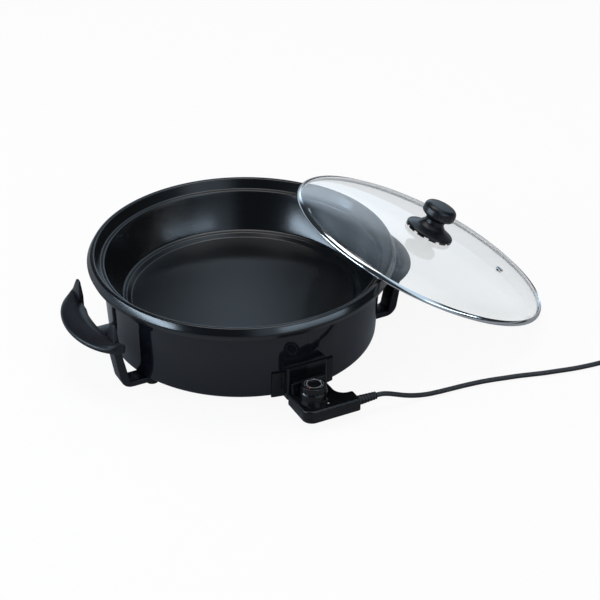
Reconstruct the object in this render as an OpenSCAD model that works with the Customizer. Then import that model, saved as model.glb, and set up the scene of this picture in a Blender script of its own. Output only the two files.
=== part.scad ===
// Round electric pizza pan with a glass lid and a detachable thermostat control.
// Origin on the table under the pan's axis, +Z up, control towards -Y, handles along X.

/* [Pan] */
// Outer diameter of the rim
rim_d = 420; // [400:1:450]
// Height of the rim's outer band
rim_band_h = 17; // [12:0.5:20]
// How far the lower edge of the band is drawn in
rim_tuck = 7.5; // [4:0.5:9]
// Radius of the rim's outer top edge
rim_round = 4; // [3.5:0.1:5]
// Width of the rim's top, outer edge included
rim_top_w = 10.5; // [9:0.5:14]
// Run of the sloping face from the rim's top down to the lid's seat
funnel_run = 7.5; // [5:0.5:10]
// Depth of the lid's seat below the rim's top
seat_depth = 13; // [8:0.5:16]
// Width of the lid's seat
seat_w = 6; // [5:0.5:9]
// Depth of the cooking space below the lid's seat
pan_depth = 58; // [45:1:62]
// How far the flat floor's edge lies inside the lid's seat
wall_run = 34; // [30:0.5:40]
// Height of the step round the floor
floor_step = 5; // [3:0.5:6]
// Thickness of the pan's sheet
pan_wall = 2.5; // [2:0.1:3]

/* [Skirt and base] */
// Height of the outer skirt
skirt_h = 105.5; // [98:0.5:115]
// How much the skirt narrows towards its foot
skirt_taper = 6.5; // [3:0.5:8]
// Thickness of the skirt's sheet
skirt_wall = 1.5; // [1:0.1:2]
// Width of the turned-in flange at the skirt's foot
skirt_flange_w = 28; // [24:1:34]
// Thickness of the base plate
plate_t = 1.2; // [0.8:0.1:2]
// Height of the pressed ring in the base plate
plate_emboss = 6; // [3:0.5:8]
// Number of vent slots in the base plate
vent_count = 8; // [4:1:12]

/* [Handles] */
// Gap for the fingers between the skirt's top and the handle
finger_gap = 24.5; // [22:0.5:32]
// Width of the handle's ear at its middle
ear_w = 38; // [32:0.5:44]
// Length of the handle's ear
ear_l = 168; // [160:1:176]
// Thickness of the ear at its outer edge
ear_t = 8; // [6:0.5:10]
// Height of the ear's top above the table
ear_z = 77; // [70:0.5:84]
// Rise of the finger lip above the ear's top
lip_rise = 5; // [3:0.5:7]
// Distance of each strap's middle from the handle's middle
strap_off = 62.5; // [58:0.5:68]
// How far the handles' middle lies behind the pan's axis
handle_back = 10; // [0:0.5:14]
// Width of a strap
strap_w = 25; // [20:0.5:28]
// Thickness of a strap at its foot
strap_t = 12; // [9:0.5:14]
// Rise of the pointed strap top above the ear
fin_rise = 28; // [20:0.5:32]
// Thickness of the arm under the skirt
arm_t = 8; // [7:0.5:10]

/* [Feet] */
// Height of a rubber foot
foot_h = 8; // [7:0.5:11]
// Diameter of a rubber foot
foot_d = 19; // [17:0.5:23]
// How far the feet's middle lies inside the skirt's foot
foot_in = 24; // [22:0.5:26]
// Diameter of the foot screws
foot_screw_d = 4; // [3:0.5:5]

/* [Heater] */
// Diameter of the tubular heating element
element_d = 8; // [6.5:0.5:9]
// Diameter of the element's ring
element_ring_d = 210; // [190:1:230]
// Diameter of the terminal pins
pin_d = 6; // [5:0.5:7]
// Distance between the terminal pins
pin_gap = 33; // [31:0.5:34]
// Height of the terminal pins above the table
pin_z = 29; // [28:0.5:30]

/* [Socket guard] */
// Width of the guard's box
guard_w = 58; // [55:0.5:64]
// Height of the guard's box
guard_h = 48.5; // [44:0.5:52]
// Height of the guard's underside above the skirt's foot
guard_lift = 0; // [0:0.5:3]
// How far the guard stands out from the skirt's top
guard_out = 6.5; // [5:0.5:10]
// Wall of the guard
guard_wall = 2.5; // [2:0.1:3]
// Width of each side flange
guard_flange_w = 16; // [9:0.5:18]
// Height of the side flanges
guard_flange_h = 38; // [30:0.5:42]

/* [Lid] */
// Gap between the lid's band and the foot of the sloping face
lid_clear = 1; // [0.5:0.1:2]
// Height of the glass dome
dome_h = 28; // [24:0.5:32]
// Thickness of the glass
glass_t = 3.6; // [3:0.1:4]
// Height of the steel band
band_h = 6; // [4.5:0.1:8]
// Thickness of the steel band
band_t = 1.2; // [0.8:0.1:1.5]
// Tilt of the leaning lid
lid_tilt = 26.4; // [24:0.1:28]
// Direction in which the lid leans, from the right handle
lid_turn = -10; // [-14:0.5:-5]
// Sideways offset of the leaning lid
lid_side = 7; // [0:0.5:30]
// Distance of the steam vent from the lid's middle
vent_off = 114; // [105:1:150]
// Direction of the steam vent, from the lid's lowest side
vent_turn = -22; // [-40:1:0]
// Diameter of the steam vent's hole in the glass
vent_d = 8; // [6:0.5:10]

/* [Lid knob] */
// Diameter of the knob's cap
knob_d = 48; // [42:0.5:56]
// Height of the knob's cap with its neck
knob_h = 30; // [26:0.5:36]
// Diameter of the knob's neck
neck_d = 30; // [24:0.5:34]
// Diameter of the knob's collar
collar_d = 70; // [60:0.5:74]
// Height of the knob's collar
collar_h = 14; // [11:0.5:16]
// Number of notches in the collar's lower edge
notch_count = 12; // [8:1:16]
// Diameter of the knob's screw
knob_screw_d = 5; // [4:0.5:6]

/* [Control] */
// Height of the control's underside above the table
control_z = 11; // [9:0.5:13]
// Height of the control's body
control_h = 18; // [16:0.5:20]
// Height of the lower shell, up to the parting line
lower_h = 7; // [6:0.5:9]
// Width of the bevel round the control's top
bevel_w = 3; // [2:0.5:4]
// Wall of the control's shells
shell_wall = 2.5; // [2:0.1:3]
// Distance of the control's left side from its middle
body_left = 30; // [28:0.5:32]
// Distance of the body's right side from its middle
body_right = 28; // [26:0.5:30]
// Length of the control's body, guard to front
body_l = 54; // [50:0.5:58]
// Distance of the arm's end from the middle
arm_reach = 49; // [46:0.5:54]
// Width of the arm
arm_w = 24; // [22:0.5:27]
// Radius of the body's front left corner
front_round = 14; // [10:0.5:18]
// Radius of the cove between the body and the arm
cove_round = 15; // [8:0.5:18]
// Width of the plug-in nose
nose_w = 44; // [43:0.5:46]
// Height of the plug-in nose
nose_h = 20; // [19:0.5:21]
// Diameter of the temperature probe
probe_d = 8; // [6:0.5:9]
// Height of the probe above the terminal pins
probe_rise = 8; // [7.5:0.5:9]

/* [Dial] */
// Diameter of the dial at its foot
dial_d = 36; // [32:0.5:38]
// Height of the dial
dial_h = 13; // [10:0.5:15]
// Diameter of the dip in the dial's top
dial_dip_d = 17; // [12:0.5:20]
// Height of the turret under the dial
turret_h = 11; // [9:0.5:13]
// Distance of the dial's axis from the guard's face
dial_out = 29.5; // [27:0.5:32]
// Distance of the dial's axis from the control's middle
dial_side = -6; // [-8:0.5:-2]
// Number of grip flutes round the dial
flute_count = 18; // [10:1:24]
// Diameter of the dial's spindle
spindle_d = 6; // [5:0.5:7]

/* [Cord] */
// Diameter of the cord
cord_d = 7; // [6:0.1:8]
// Length of the ribbed strain relief
boot_l = 26; // [20:1:30]
// Diameter of the strain relief at the control
boot_d = 13; // [11:0.5:15]
// Number of ribs on the strain relief
boot_ribs = 5; // [3:1:6]
// Mean diameter of the coil's turns
coil_d = 77; // [70:1:84]
// Step between turns beside each other
coil_step = 8; // [7.6:0.1:8.5]
// Step between the coil's layers
coil_rise = 7.6; // [7.5:0.1:8.5]
// Thickness of the tie round the coil
tie_t = 1; // [0.8:0.1:1.5]
// Diameter of the plug's face
plug_d = 37; // [35:0.5:39]
// Length of the plug's body
plug_l = 36; // [32:0.5:42]

/* [Fits] */
// Gap round pins, shafts and other sliding fits
fit = 0.05; // [0.03:0.01:0.08]
// Gap between pieces that only pass each other
pass = 0.5; // [0.3:0.1:0.7]
// Gap between a piece and the curved face that it stands on
seat_gap = 0.2; // [0.1:0.05:0.3]
// Gap where the lid leans on the rim and stands on the table
lean_gap = 0.3; // [0.2:0.05:0.5]

/* [Hidden] */
$fn = 96;

// Heights, from the table up
skirt_z = foot_h + arm_t;
skirt_top = skirt_z + skirt_h;
seat_z = skirt_top + pan_wall;
rim_z = seat_z + seat_depth;
floor_z = seat_z - pan_depth;
under_z = floor_z - pan_wall;
plate_z = skirt_z + skirt_wall + plate_t;

// Radii of the pan and the skirt
rim_r = rim_d / 2;
rim_corner_r = rim_r + rim_round * (1 / tan(atan2(rim_band_h, rim_tuck) / 2) - 1);
funnel_r = rim_r - rim_top_w;
seat_out_r = funnel_r - funnel_run;
seat_in_r = seat_out_r - seat_w;
floor_r = seat_in_r - wall_run;
step_run = 6;
ledge_w = 6;
heel_round = 5;
sheet_round = pan_wall + 0.5;
skirt_inset = 1.5;
skirt_r = seat_out_r - skirt_inset;
skirt_foot_r = skirt_r - skirt_taper;
skirt_edge_z = skirt_top - skirt_wall * skirt_taper / skirt_h - fit;
skirt_round = 5;
flange_r = skirt_foot_r - skirt_flange_w;
plate_lap = 7;
plate_r = flange_r + plate_lap;
foot_reach = skirt_foot_r - foot_in;

// Heater
element_r = element_d / 2;
element_z = under_z - element_r - 2 * fit;
loop_steps = 32;
loop_sag = element_ring_d / 2 * (1 - cos(180 / loop_steps));
insulator_t = 11;
insulator_n = skirt_foot_r - skirt_wall - insulator_t;
pin_root_n = insulator_n - 1;
element_drop_n = pin_root_n - 26.5;
stud_r = 3;
nut_h = 5;
nut_r = 5.8;

// Guard and control, measured outwards along -Y
guard_n = skirt_r + guard_out;
guard_z = skirt_z + guard_lift;
guard_round = 3;
probe_z = pin_z + probe_rise;
control_n = guard_n + 3;
nose_n = guard_n - 13;
nose_z = pin_z - 5.5;
window_w = nose_w + 2 * pass;
pin_tip_n = nose_n + 10;
socket_r = pin_d / 2 + 1;
probe_tip_n = 115;
block_l = 38;
block_w = 24;
front_n = control_n + body_l;
control_top = control_z + control_h;
split_z = control_z + lower_h;
arm_round = 2.5;
cove_r = min(cove_round, arm_reach - body_right - bevel_w - arm_round - 0.5);
bevel_z = control_top - bevel_w;
dial_n = guard_n + dial_out;
turret_z = control_top + turret_h;
turret_r = dial_d / 2 - 1.5;
turret_flare = 3;
dial_gap = 0.4;
dial_top = turret_z + dial_gap + dial_h;
spindle_z = control_z + 10;
boot_n = front_n - 8;
boot_z = control_z + 11;

// Lid, in its own frame: band's underside at height 0, glass domed upwards
lid_r = seat_out_r - lid_clear;
glass_r = lid_r - band_t - 2 * fit;
glass_z = band_t + 2 * fit;
band_in = glass_r - glass_t - 2;
dome_top = glass_z + dome_h;
knob_z = dome_top + 1.5;
neck_z = knob_z + collar_h;
cap_top = neck_z + knob_h;

// The cord's way from the strain relief down to the table and on to the coil
CORD_ROUTE = [
    [75, -246, 22], [83, -246.3, 21.7], [92, -247.3, 20], [103, -249, 16.5], [116, -250.8, 12],
    [131, -252.3, 8], [147, -253.3, 5.2], [163, -254, 4], [181, -255, 3.7], [203, -256.5, 3.7],
    [226, -259, 3.7], [244, -262, 3.7], [262, -266, 3.7], [280, -270, 3.7], [298, -275, 3.7],
    [316, -280, 3.7], [334, -284, 3.7], [352, -288, 3.7], [370, -291, 3.7], [388, -293, 3.7],
    [406, -294, 3.7], [424, -294, 3.7], [442, -293, 3.7], [460, -291, 4], [477, -288, 4.5],
    [491, -285.5, 5], [503, -284.5, 5.1]];
coil_x = 510;
coil_y = -238.5;
coil_z = 5.1;
// The plug's lead, from the coil's end up to the plug
PLUG_ROUTE = [
    [556, -231.5, 12.7], [556, -222, 12.7], [556, -212, 16], [556, -202, 18.5],
    [556, -194, 19.5], [556, -186, 19.5]];
plug_y = -186;
plug_z = 19.5;

// Drawing helpers

function unit(v) = v / norm(v);

function xy(p) = [p[0], p[1]];

// The arc that rounds corner q, whose third number is its radius, between p and s
function corner(p, q, s, n) =
    let (
        a = unit(xy(p) - xy(q)),
        b = unit(xy(s) - xy(q)),
        half = acos(a * b) / 2,
        c = xy(q) + unit(a + b) * q[2] / sin(half),
        e = xy(q) + a * q[2] / tan(half) - c,
        f = xy(q) + b * q[2] / tan(half) - c,
        start = atan2(e[1], e[0]),
        turn = atan2(f[1], f[0]) - start,
        sweep = turn > 180 ? turn - 360 : turn < -180 ? turn + 360 : turn
    )
    [for (i = [0:n]) c + q[2] * [cos(start + sweep * i / n), sin(start + sweep * i / n)]];

// An outline of [x, y, radius] corners, with its corners rounded
function soft(pts, closed = true, n = 5) =
    let (m = len(pts))
    [for (i = [0:m - 1])
        each (pts[i][2] == 0 || (!closed && (i == 0 || i == m - 1)))
            ? [xy(pts[i])]
            : corner(pts[(i + m - 1) % m], pts[i], pts[(i + 1) % m], n)];

function right_of(a, b) = let (d = unit(b - a)) [d[1], -d[0]];

function mitre(path, i) =
    let (
        m = len(path),
        before = right_of(path[max(i - 1, 0)], path[max(i, 1)]),
        after = right_of(path[min(i, m - 2)], path[min(i + 1, m - 1)])
    )
    (before + after) / (1 + before * after);

// The outline of a sheet of thickness t that lies to the right of an open path
function sheet(path, t) =
    concat(path, [for (i = [len(path) - 1:-1:0]) path[i] + t * mitre(path, i)]);

function heading(path, i) =
    unit(path[min(i + 1, len(path) - 1)] - path[max(i - 1, 0)]);

function ring(p, t, r, sides) =
    let (s = unit(cross(t, [0, 0, 1])), u = cross(s, t))
    [for (j = [0:sides - 1]) p + r * (cos(360 * j / sides) * s + sin(360 * j / sides) * u)];

// A skin over rings that all have the same number of points, closed at both ends
module skin(rings) {
    k = len(rings[0]);
    last = (len(rings) - 1) * k;
    sides = [for (i = [0:len(rings) - 2], j = [0:k - 1])
        let (a = i * k + j, b = i * k + (j + 1) % k)
        each [[a, b, b + k], [a, b + k, a + k]]];
    polyhedron(concat([for (r = rings) each r]),
        concat(sides, [[for (j = [k - 1:-1:0]) j]], [[for (j = [0:k - 1]) last + j]]));
}

// A round tube along a path
module tube(path, d, sides) {
    skin([for (i = [0:len(path) - 1]) ring(path[i], heading(path, i), d / 2, sides)]);
}

// A cylinder along -Y, from distance n0 to n1
module rod(x, n0, n1, z, d) {
    translate([x, -n0, z])
        rotate([90, 0, 0])
            cylinder(d = d, h = n1 - n0);
}

// A box given by its limits along X, outwards along -Y, and Z
module block(x0, x1, n0, n1, z0, z1) {
    translate([x0, -n1, z0])
        cube([x1 - x0, n1 - n0, z1 - z0]);
}

// Pan and base

function pan_path() = soft([
    [0, floor_z, 0],
    [floor_r, floor_z, sheet_round],
    [floor_r + step_run, floor_z + floor_step, sheet_round],
    [floor_r + step_run + ledge_w, floor_z + floor_step, heel_round],
    [seat_in_r, seat_z, sheet_round],
    [seat_out_r, seat_z, sheet_round],
    [funnel_r, rim_z, sheet_round],
    [rim_corner_r, rim_z, rim_round],
    [rim_corner_r - rim_tuck, rim_z - rim_band_h, 0]], false);

module pan() {
    color("#33363b")
        rotate_extrude()
            polygon(sheet(pan_path(), pan_wall));
}

function skirt_path() = soft([
    [skirt_r, skirt_edge_z, 0],
    [skirt_foot_r, skirt_z, skirt_round],
    [flange_r, skirt_z, 0]], false);

// The skirt's outer radius at height z
function skirt_at(z) = skirt_r - skirt_taper * (skirt_top - z) / skirt_h;

module outer_skirt() {
    window_in = 20;
    screw_cut = 12;
    color("#1f2228")
        difference() {
            rotate_extrude()
                polygon(sheet(skirt_path(), skirt_wall));
            block(-window_w / 2, window_w / 2, skirt_foot_r - window_in, skirt_r + 1, nose_z - pass,
                nose_z + nose_h + pass);
            at_feet() translate([0, 0, skirt_z - 1]) cylinder(d = foot_screw_d + 2 * fit, h = skirt_wall + 2);
            at_guard_screws() cylinder(d = guard_screw_d + 2 * fit, h = screw_cut, center = true);
        }
}

module base_plate() {
    ring_in = 46;
    ring_out = plate_r - 22;
    slot_l = 34;
    slot_w = 6;
    color("#8d9196")
        difference() {
            rotate_extrude()
                polygon(sheet(soft([
                    [stud_r + 0.2, plate_z, 0],
                    [ring_in - plate_emboss, plate_z, 3],
                    [ring_in, plate_z + plate_emboss, 3],
                    [ring_out, plate_z + plate_emboss, 3],
                    [ring_out + plate_emboss, plate_z, 3],
                    [plate_r, plate_z, 0]], false), plate_t));
            for (i = [0:vent_count - 1])
                rotate([0, 0, 360 * (i + 0.5) / vent_count])
                    translate([(ring_in + ring_out) / 2, 0, plate_z - 2])
                        linear_extrude(plate_emboss + 4) {
                            square([slot_l, slot_w], center = true);
                            for (s = [-1, 1])
                                translate([s * slot_l / 2, 0])
                                    circle(d = slot_w);
                        }
        }
}

module centre_stud() {
    color("silver")
        translate([0, 0, plate_z - plate_t - nut_h - 1])
            cylinder(r = stud_r, h = under_z - plate_z + plate_t + nut_h + 1);
}

module base_nut() {
    color("silver")
        translate([0, 0, plate_z - plate_t - nut_h])
            difference() {
                cylinder(r = nut_r, h = nut_h, $fn = 6);
                translate([0, 0, -1])
                    cylinder(r = stud_r + fit, h = nut_h + 2);
            }
}

// Heater

module heating_element() {
    ring_r = element_ring_d / 2;
    bend_r = 14;
    half_gap = asin((pin_gap / 2 + bend_r) / ring_r);
    loop = [for (i = [0:loop_steps])
        let (a = half_gap - 90 + (360 - 2 * half_gap) * i / loop_steps)
        [ring_r * cos(a), ring_r * sin(a), element_z]];
    x = pin_gap / 2;
    turn_n = ring_r * cos(half_gap) + bend_r;
    lead = [[0, turn_n + 2, element_z], [0, element_drop_n, element_z], [0, element_drop_n + 6, element_z - 4],
        [0, pin_root_n - 12, pin_z + 4], [0, pin_root_n - 6, pin_z], [0, pin_root_n, pin_z]];
    bend = [for (a = [30, 60]) [bend_r * (1 - sin(a)), turn_n - bend_r * cos(a), element_z]];
    right_end = [for (i = [5:-1:0]) [x, -lead[i][1], lead[i][2]]];
    left_end = [for (i = [0:5]) [-x, -lead[i][1], lead[i][2]]];
    right_bend = [for (i = [1:-1:0]) [x + bend[i][0], -bend[i][1], element_z]];
    left_bend = [for (i = [0:1]) [-x - bend[i][0], -bend[i][1], element_z]];
    color("#6b6459")
        tube(concat(right_end, right_bend, loop, left_bend, left_end), element_d, 8);
}

module element_clips() {
    clip_w = 12;
    ear_l = 8;
    wall = 2;
    hold_r = element_r + loop_sag + fit;
    color("silver")
        for (a = [-20, 60, 120, 200])
            rotate([0, 0, a])
                translate([element_ring_d / 2, 0, under_z])
                    rotate([90, 0, 0])
                        linear_extrude(clip_w, center = true)
                            difference() {
                                union() {
                                    translate([-element_r - wall - ear_l, -wall])
                                        square([element_d + 2 * (wall + ear_l), wall]);
                                    translate([-element_r - wall, -element_d - wall - 3 * fit])
                                        square([element_d + 2 * wall, element_d + wall]);
                                }
                                translate([0, element_z - under_z])
                                    circle(r = hold_r);
                                translate([-hold_r + 2 * fit, element_z - under_z])
                                    square([2 * hold_r - 4 * fit, element_d]);
                            }
}

module sensor_block() {
    color("silver")
        difference() {
            block(-block_w / 2, block_w / 2, probe_tip_n - 3, probe_tip_n - 3 + block_l, probe_z - 7, under_z);
            rod(0, probe_tip_n - 4, probe_tip_n + block_l, probe_z, probe_d + 2 * fit);
        }
}

module terminal_pins() {
    color("silver")
        for (s = [-1, 1])
            rod(s * pin_gap / 2, pin_root_n, pin_tip_n, pin_z, pin_d);
}

module terminal_insulator() {
    margin = 2 * pass;
    color("#d8d2c4")
        difference() {
            block(-window_w / 2 + margin, window_w / 2 - margin, insulator_n, nose_n - pass, nose_z + pass,
                probe_z + 6);
            for (s = [-1, 1])
                rod(s * pin_gap / 2, insulator_n - 1, nose_n + 1, pin_z, pin_d + 2 * fit);
            rod(0, insulator_n - 1, nose_n + 1, probe_z, probe_d + 2 * pass);
        }
}

// Socket guard

guard_screw_d = 3;
guard_screw_turn = asin((guard_w / 2 + guard_flange_w / 2) / skirt_r);
guard_screw_z = guard_z + guard_flange_h / 2;

module at_guard_screws() {
    for (s = [-1, 1])
        rotate([0, 0, s * guard_screw_turn])
            translate([0, -skirt_at(guard_screw_z), guard_screw_z])
                rotate([90, 0, 0])
                    children();
}

// A ring that lies on the skirt, from its outer face to t outside it
module skirt_ring(t, z0, z1) {
    rotate_extrude()
        polygon([
            [skirt_at(z0) + seat_gap, z0],
            [skirt_at(z0) + seat_gap + t, z0],
            [skirt_at(z1) + seat_gap + t, z1],
            [skirt_at(z1) + seat_gap, z1]]);
}

module socket_guard() {
    outer = [
        [-guard_w / 2, -guard_n, guard_round],
        [guard_w / 2, -guard_n, guard_round],
        [guard_w / 2, -skirt_foot_r + 20, 0],
        [-guard_w / 2, -skirt_foot_r + 20, 0]];
    inner = [
        [-guard_w / 2 + guard_wall, -guard_n + guard_wall, guard_round - guard_wall],
        [guard_w / 2 - guard_wall, -guard_n + guard_wall, guard_round - guard_wall],
        [guard_w / 2 - guard_wall, -skirt_foot_r + 21, 0],
        [-guard_w / 2 + guard_wall, -skirt_foot_r + 21, 0]];
    top = guard_z + guard_h;
    color("#17191c")
        difference() {
            union() {
                difference() {
                    translate([0, 0, guard_z])
                        linear_extrude(guard_h)
                            polygon(soft(outer));
                    rotate_extrude()
                        polygon([
                            [0, guard_z - 1],
                            [skirt_at(guard_z - 1) + seat_gap, guard_z - 1],
                            [skirt_at(top + 1) + seat_gap, top + 1],
                            [0, top + 1]]);
                }
                intersection() {
                    skirt_ring(guard_wall, guard_z, guard_z + guard_flange_h);
                    block(-guard_w / 2 - guard_flange_w, guard_w / 2 + guard_flange_w, 0, guard_n,
                        guard_z, top);
                }
            }
            translate([0, 0, guard_z + guard_wall])
                linear_extrude(guard_h - 2 * guard_wall)
                    polygon(soft(inner));
            block(-window_w / 2, window_w / 2, guard_n - guard_wall - 1, guard_n + 1, nose_z - pass,
                nose_z + nose_h + pass);
            at_guard_screws() cylinder(d = guard_screw_d + 2 * fit, h = 2 * guard_wall - 1, center = true);
        }
}

module guard_screws() {
    head_h = 2.5;
    color("silver")
        at_guard_screws() {
            translate([0, 0, -skirt_wall])
                cylinder(d = guard_screw_d, h = skirt_wall + guard_wall - 1);
            translate([0, 0, -skirt_wall - seat_gap - head_h])
                cylinder(d = 2 * guard_screw_d, h = head_h);
            translate([0, 0, -skirt_wall - seat_gap - 1])
                cylinder(d = guard_screw_d, h = seat_gap + 2);
        }
}

// Handles and feet

ear_in = skirt_r + finger_gap;
ear_out = ear_in + ear_w;
ear_half = ear_l / 2;
ear_bottom = ear_z - ear_t;
ear_root = ear_in - 15;
ear_long = ear_half + 2;
lip_arc_r = 290;
lip_w = 11;
crest_part = 0.34;
fin_top = ear_z + fin_rise;

// The ear's outer and inner edges at distance y from the handle's middle
function ear_outer(y) = ear_root + (ear_out - ear_root) * sqrt(1 - pow(y / ear_long, 2));
function ear_inner(y) = ear_in - lip_arc_r + sqrt(pow(lip_arc_r, 2) - pow(y, 2));
// Heights of the ear's crest and of its inner edge
function crest_z(y) = ear_z + 0.8 * lip_rise * (1 + pow(y / ear_half, 2));
function inner_z(y) = ear_z - 1 + 1.2 * lip_rise * pow(y / ear_half, 2);

// A section across the ear: outer edge, rounded top up to the crest, slope for the fingers and underside
function ear_section(y) =
    let (
        o = ear_outer(y),
        i = ear_inner(y),
        k = min(1, (o - i) / (2 * lip_w)),
        c = i + crest_part * (o - i),
        zc = crest_z(y),
        zi = inner_z(y)
    )
    [for (p = [
        [o - 3 * k, ear_bottom], [o - 0.6 * k, ear_bottom + 1.5], [o, ear_bottom + 3.5],
        [o - 0.8 * k, ear_z - 1.5], [o - 3 * k, ear_z + 0.3], [(o + c) / 2, ear_z + 0.6 * (zc - ear_z) + 0.8],
        [c + 3 * k, zc - 0.5], [c, zc], [c - 3 * k, zc - 0.7], [(c + i) / 2, (zc + zi) / 2],
        [i + 1.5 * k, zi], [i, zi - 1.5], [i + k, ear_bottom + 1], [i + 3 * k, ear_bottom]])
        [p[0], y, p[1]]];

module strap(y) {
    top_n = ear_inner(strap_off) + 0.3;
    out_n = top_n + 9;
    arm_in = foot_reach - foot_d / 2;
    fin_w = 7;
    tip_w = 3.5;
    lean = 11;
    translate([0, y + strap_w / 2, 0])
        rotate([90, 0, 0])
            linear_extrude(strap_w)
                polygon(soft([
                    [arm_in, foot_h, 3],
                    [out_n - lean, foot_h, 17],
                    [out_n, ear_bottom + 3, 0],
                    [top_n + fin_w, crest_z(strap_off) + 1, 2],
                    [top_n + tip_w, fin_top + 1, 0],
                    [top_n + 0.5, fin_top + 1, 0],
                    [top_n, ear_bottom + 1, 0],
                    [out_n - strap_t, ear_bottom - 6, 6],
                    [out_n - lean - strap_t + 1, skirt_z, 4],
                    [arm_in, skirt_z, 3]]));
}

module handle() {
    stations = 24;
    color("#1c1f22")
        difference() {
            union() {
                intersection() {
                    skin([for (i = [0:stations]) ear_section((ear_half + 1) * (2 * i / stations - 1))]);
                    block(0, ear_out + 1, -ear_half, ear_half, 0, fin_top);
                }
                for (s = [-1, 1])
                    intersection() {
                        strap(s * strap_off);
                        fin_cut(s);
                    }
            }
            for (s = [-1, 1])
                translate([foot_reach, s * strap_off, foot_h - 1])
                    cylinder(d = foot_screw_d + 2 * fit, h = arm_t + 2);
        }
}

// The strap's outline seen from outside: straight below, drawn to a rounded point above the ear
module fin_cut(s) {
    tip_half = 4;
    tip_round = 3.5;
    side = strap_w / 2 + 1;
    shoulder_z = ear_z + 7;
    rotate([90, 0, 90])
        linear_extrude(ear_out + 10)
            polygon(soft([
                [s * (strap_off - side), 0, 0],
                [s * (strap_off + side), 0, 0],
                [s * (strap_off + side), shoulder_z, 0],
                [s * (strap_off + tip_half), fin_top, tip_round],
                [s * (strap_off - tip_half), fin_top, tip_round],
                [s * (strap_off - side), shoulder_z, 0]]));
}

module right_handle() {
    translate([0, handle_back, 0])
        handle();
}

module left_handle() {
    mirror([1, 0, 0])
        right_handle();
}

module at_feet() {
    for (sx = [-1, 1], sy = [-1, 1])
        translate([sx * foot_reach, sy * strap_off + handle_back, 0])
            children();
}

module feet() {
    recess_d = 2 * foot_screw_d + 1;
    recess_h = foot_h - 4;
    color("#141517")
        at_feet()
            rotate_extrude()
                polygon(soft([
                    [recess_d / 2, 0, 0],
                    [foot_d / 2 - 1, 0, 1.5],
                    [foot_d / 2, foot_h, 0],
                    [foot_screw_d / 2 + fit, foot_h, 0],
                    [foot_screw_d / 2 + fit, recess_h, 0],
                    [recess_d / 2, recess_h, 0]]));
}

module foot_screws() {
    head_h = 2.5;
    recess_h = foot_h - 4;
    color("silver")
        at_feet() {
            translate([0, 0, recess_h - head_h])
                cylinder(d = 2 * foot_screw_d, h = head_h);
            translate([0, 0, recess_h - 1])
                cylinder(d = foot_screw_d, h = skirt_z + skirt_wall + 3.5 - recess_h + 1);
        }
}

module foot_nuts() {
    color("silver")
        at_feet()
            translate([0, 0, skirt_z + skirt_wall])
                difference() {
                    cylinder(r = foot_screw_d * 0.85, h = 3, $fn = 6);
                    translate([0, 0, -1])
                        cylinder(d = foot_screw_d + 2 * fit, h = 5);
                }
}

// Lid

// Height of the glass dome's outer face, and the slope there
function dome(r) = glass_z + dome_h * sqrt(1 - pow(r / glass_r, 2));
function dome_slope(r) = dome_h * r / (pow(glass_r, 2) * sqrt(1 - pow(r / glass_r, 2)));
function dome_under(r) = dome(r) - glass_t * sqrt(1 + pow(dome_slope(r), 2));

lid_z = lid_r * sin(lid_tilt) + lean_gap;

// Room between the lid's underside and the rim when the lid's middle is at distance c
function lean_room(c) = min([for (a = [-60:0.25:60], e = [0:10:90])
    let (
        r = rim_r - rim_round + rim_round * sin(e),
        z = rim_z - rim_round + rim_round * cos(e) - lid_z,
        x = r * cos(a) - c,
        y = r * sin(a) - lid_side,
        u = x * cos(lid_tilt) - z * sin(lid_tilt),
        w = x * sin(lid_tilt) + z * cos(lid_tilt),
        q = norm([u, y])
    )
    if (q < lid_r + lean_gap)
        q < band_in ? dome_under(q) - w : -w]);

// The nearest place where the leaning lid clears the rim, found by halving
function lean_at(near, far, steps) =
    steps == 0 ? far
    : lean_room((near + far) / 2) > lean_gap ? lean_at(near, (near + far) / 2, steps - 1)
    : lean_at((near + far) / 2, far, steps - 1);

lid_reach = lean_at(rim_r, rim_r + lid_r * 0.6, 14);
echo(lid_reach = lid_reach, lid_z = lid_z);

module lean() {
    rotate([0, 0, lid_turn])
        translate([lid_reach, lid_side, lid_z])
            rotate([0, lid_tilt, 0])
                children();
}

module at_vent() {
    rotate([0, 0, vent_turn])
        translate([vent_off, 0, dome(vent_off)])
            rotate([0, atan(dome_slope(vent_off)), 0])
                children();
}

// A point of the dome's outer face, moved in by t, and all such points from the top to the edge
function dome_at(a, t) =
    let (out = unit([cos(a) / glass_r, sin(a) / dome_h]))
    [glass_r * cos(a), glass_z + dome_h * sin(a)] - t * out;
function dome_face(t, steps = 20) = [for (i = [0:steps]) dome_at(90 - 90 * i / steps, t)];

module lid_glass() {
    under = dome_face(glass_t);
    color("#dfe9ee", 0.4)
        lean()
            difference() {
                rotate_extrude()
                    polygon(concat(dome_face(0), [for (i = [len(under) - 1:-1:0]) under[i]]));
                translate([0, 0, dome_top - 2 * glass_t])
                    cylinder(d = knob_screw_d + 2, h = 3 * glass_t);
                at_vent() cylinder(d = vent_d + 2 * fit, h = 4 * glass_t, center = true);
            }
}

module lid_band() {
    climb = asin((band_h - glass_z) / dome_h);
    wall = [for (i = [0:4]) climb * i / 4];
    color("silver")
        lean()
            rotate_extrude()
                polygon(concat(
                    [[band_in, 0], [lid_r - band_t / 2, 0]],
                    [for (a = wall) dome_at(a, -band_t - 2 * fit)],
                    [for (i = [4:-1:0]) dome_at(wall[i], -2 * fit)],
                    [[glass_r + 2 * fit, band_t], [band_in, band_t]]));
}

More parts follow.
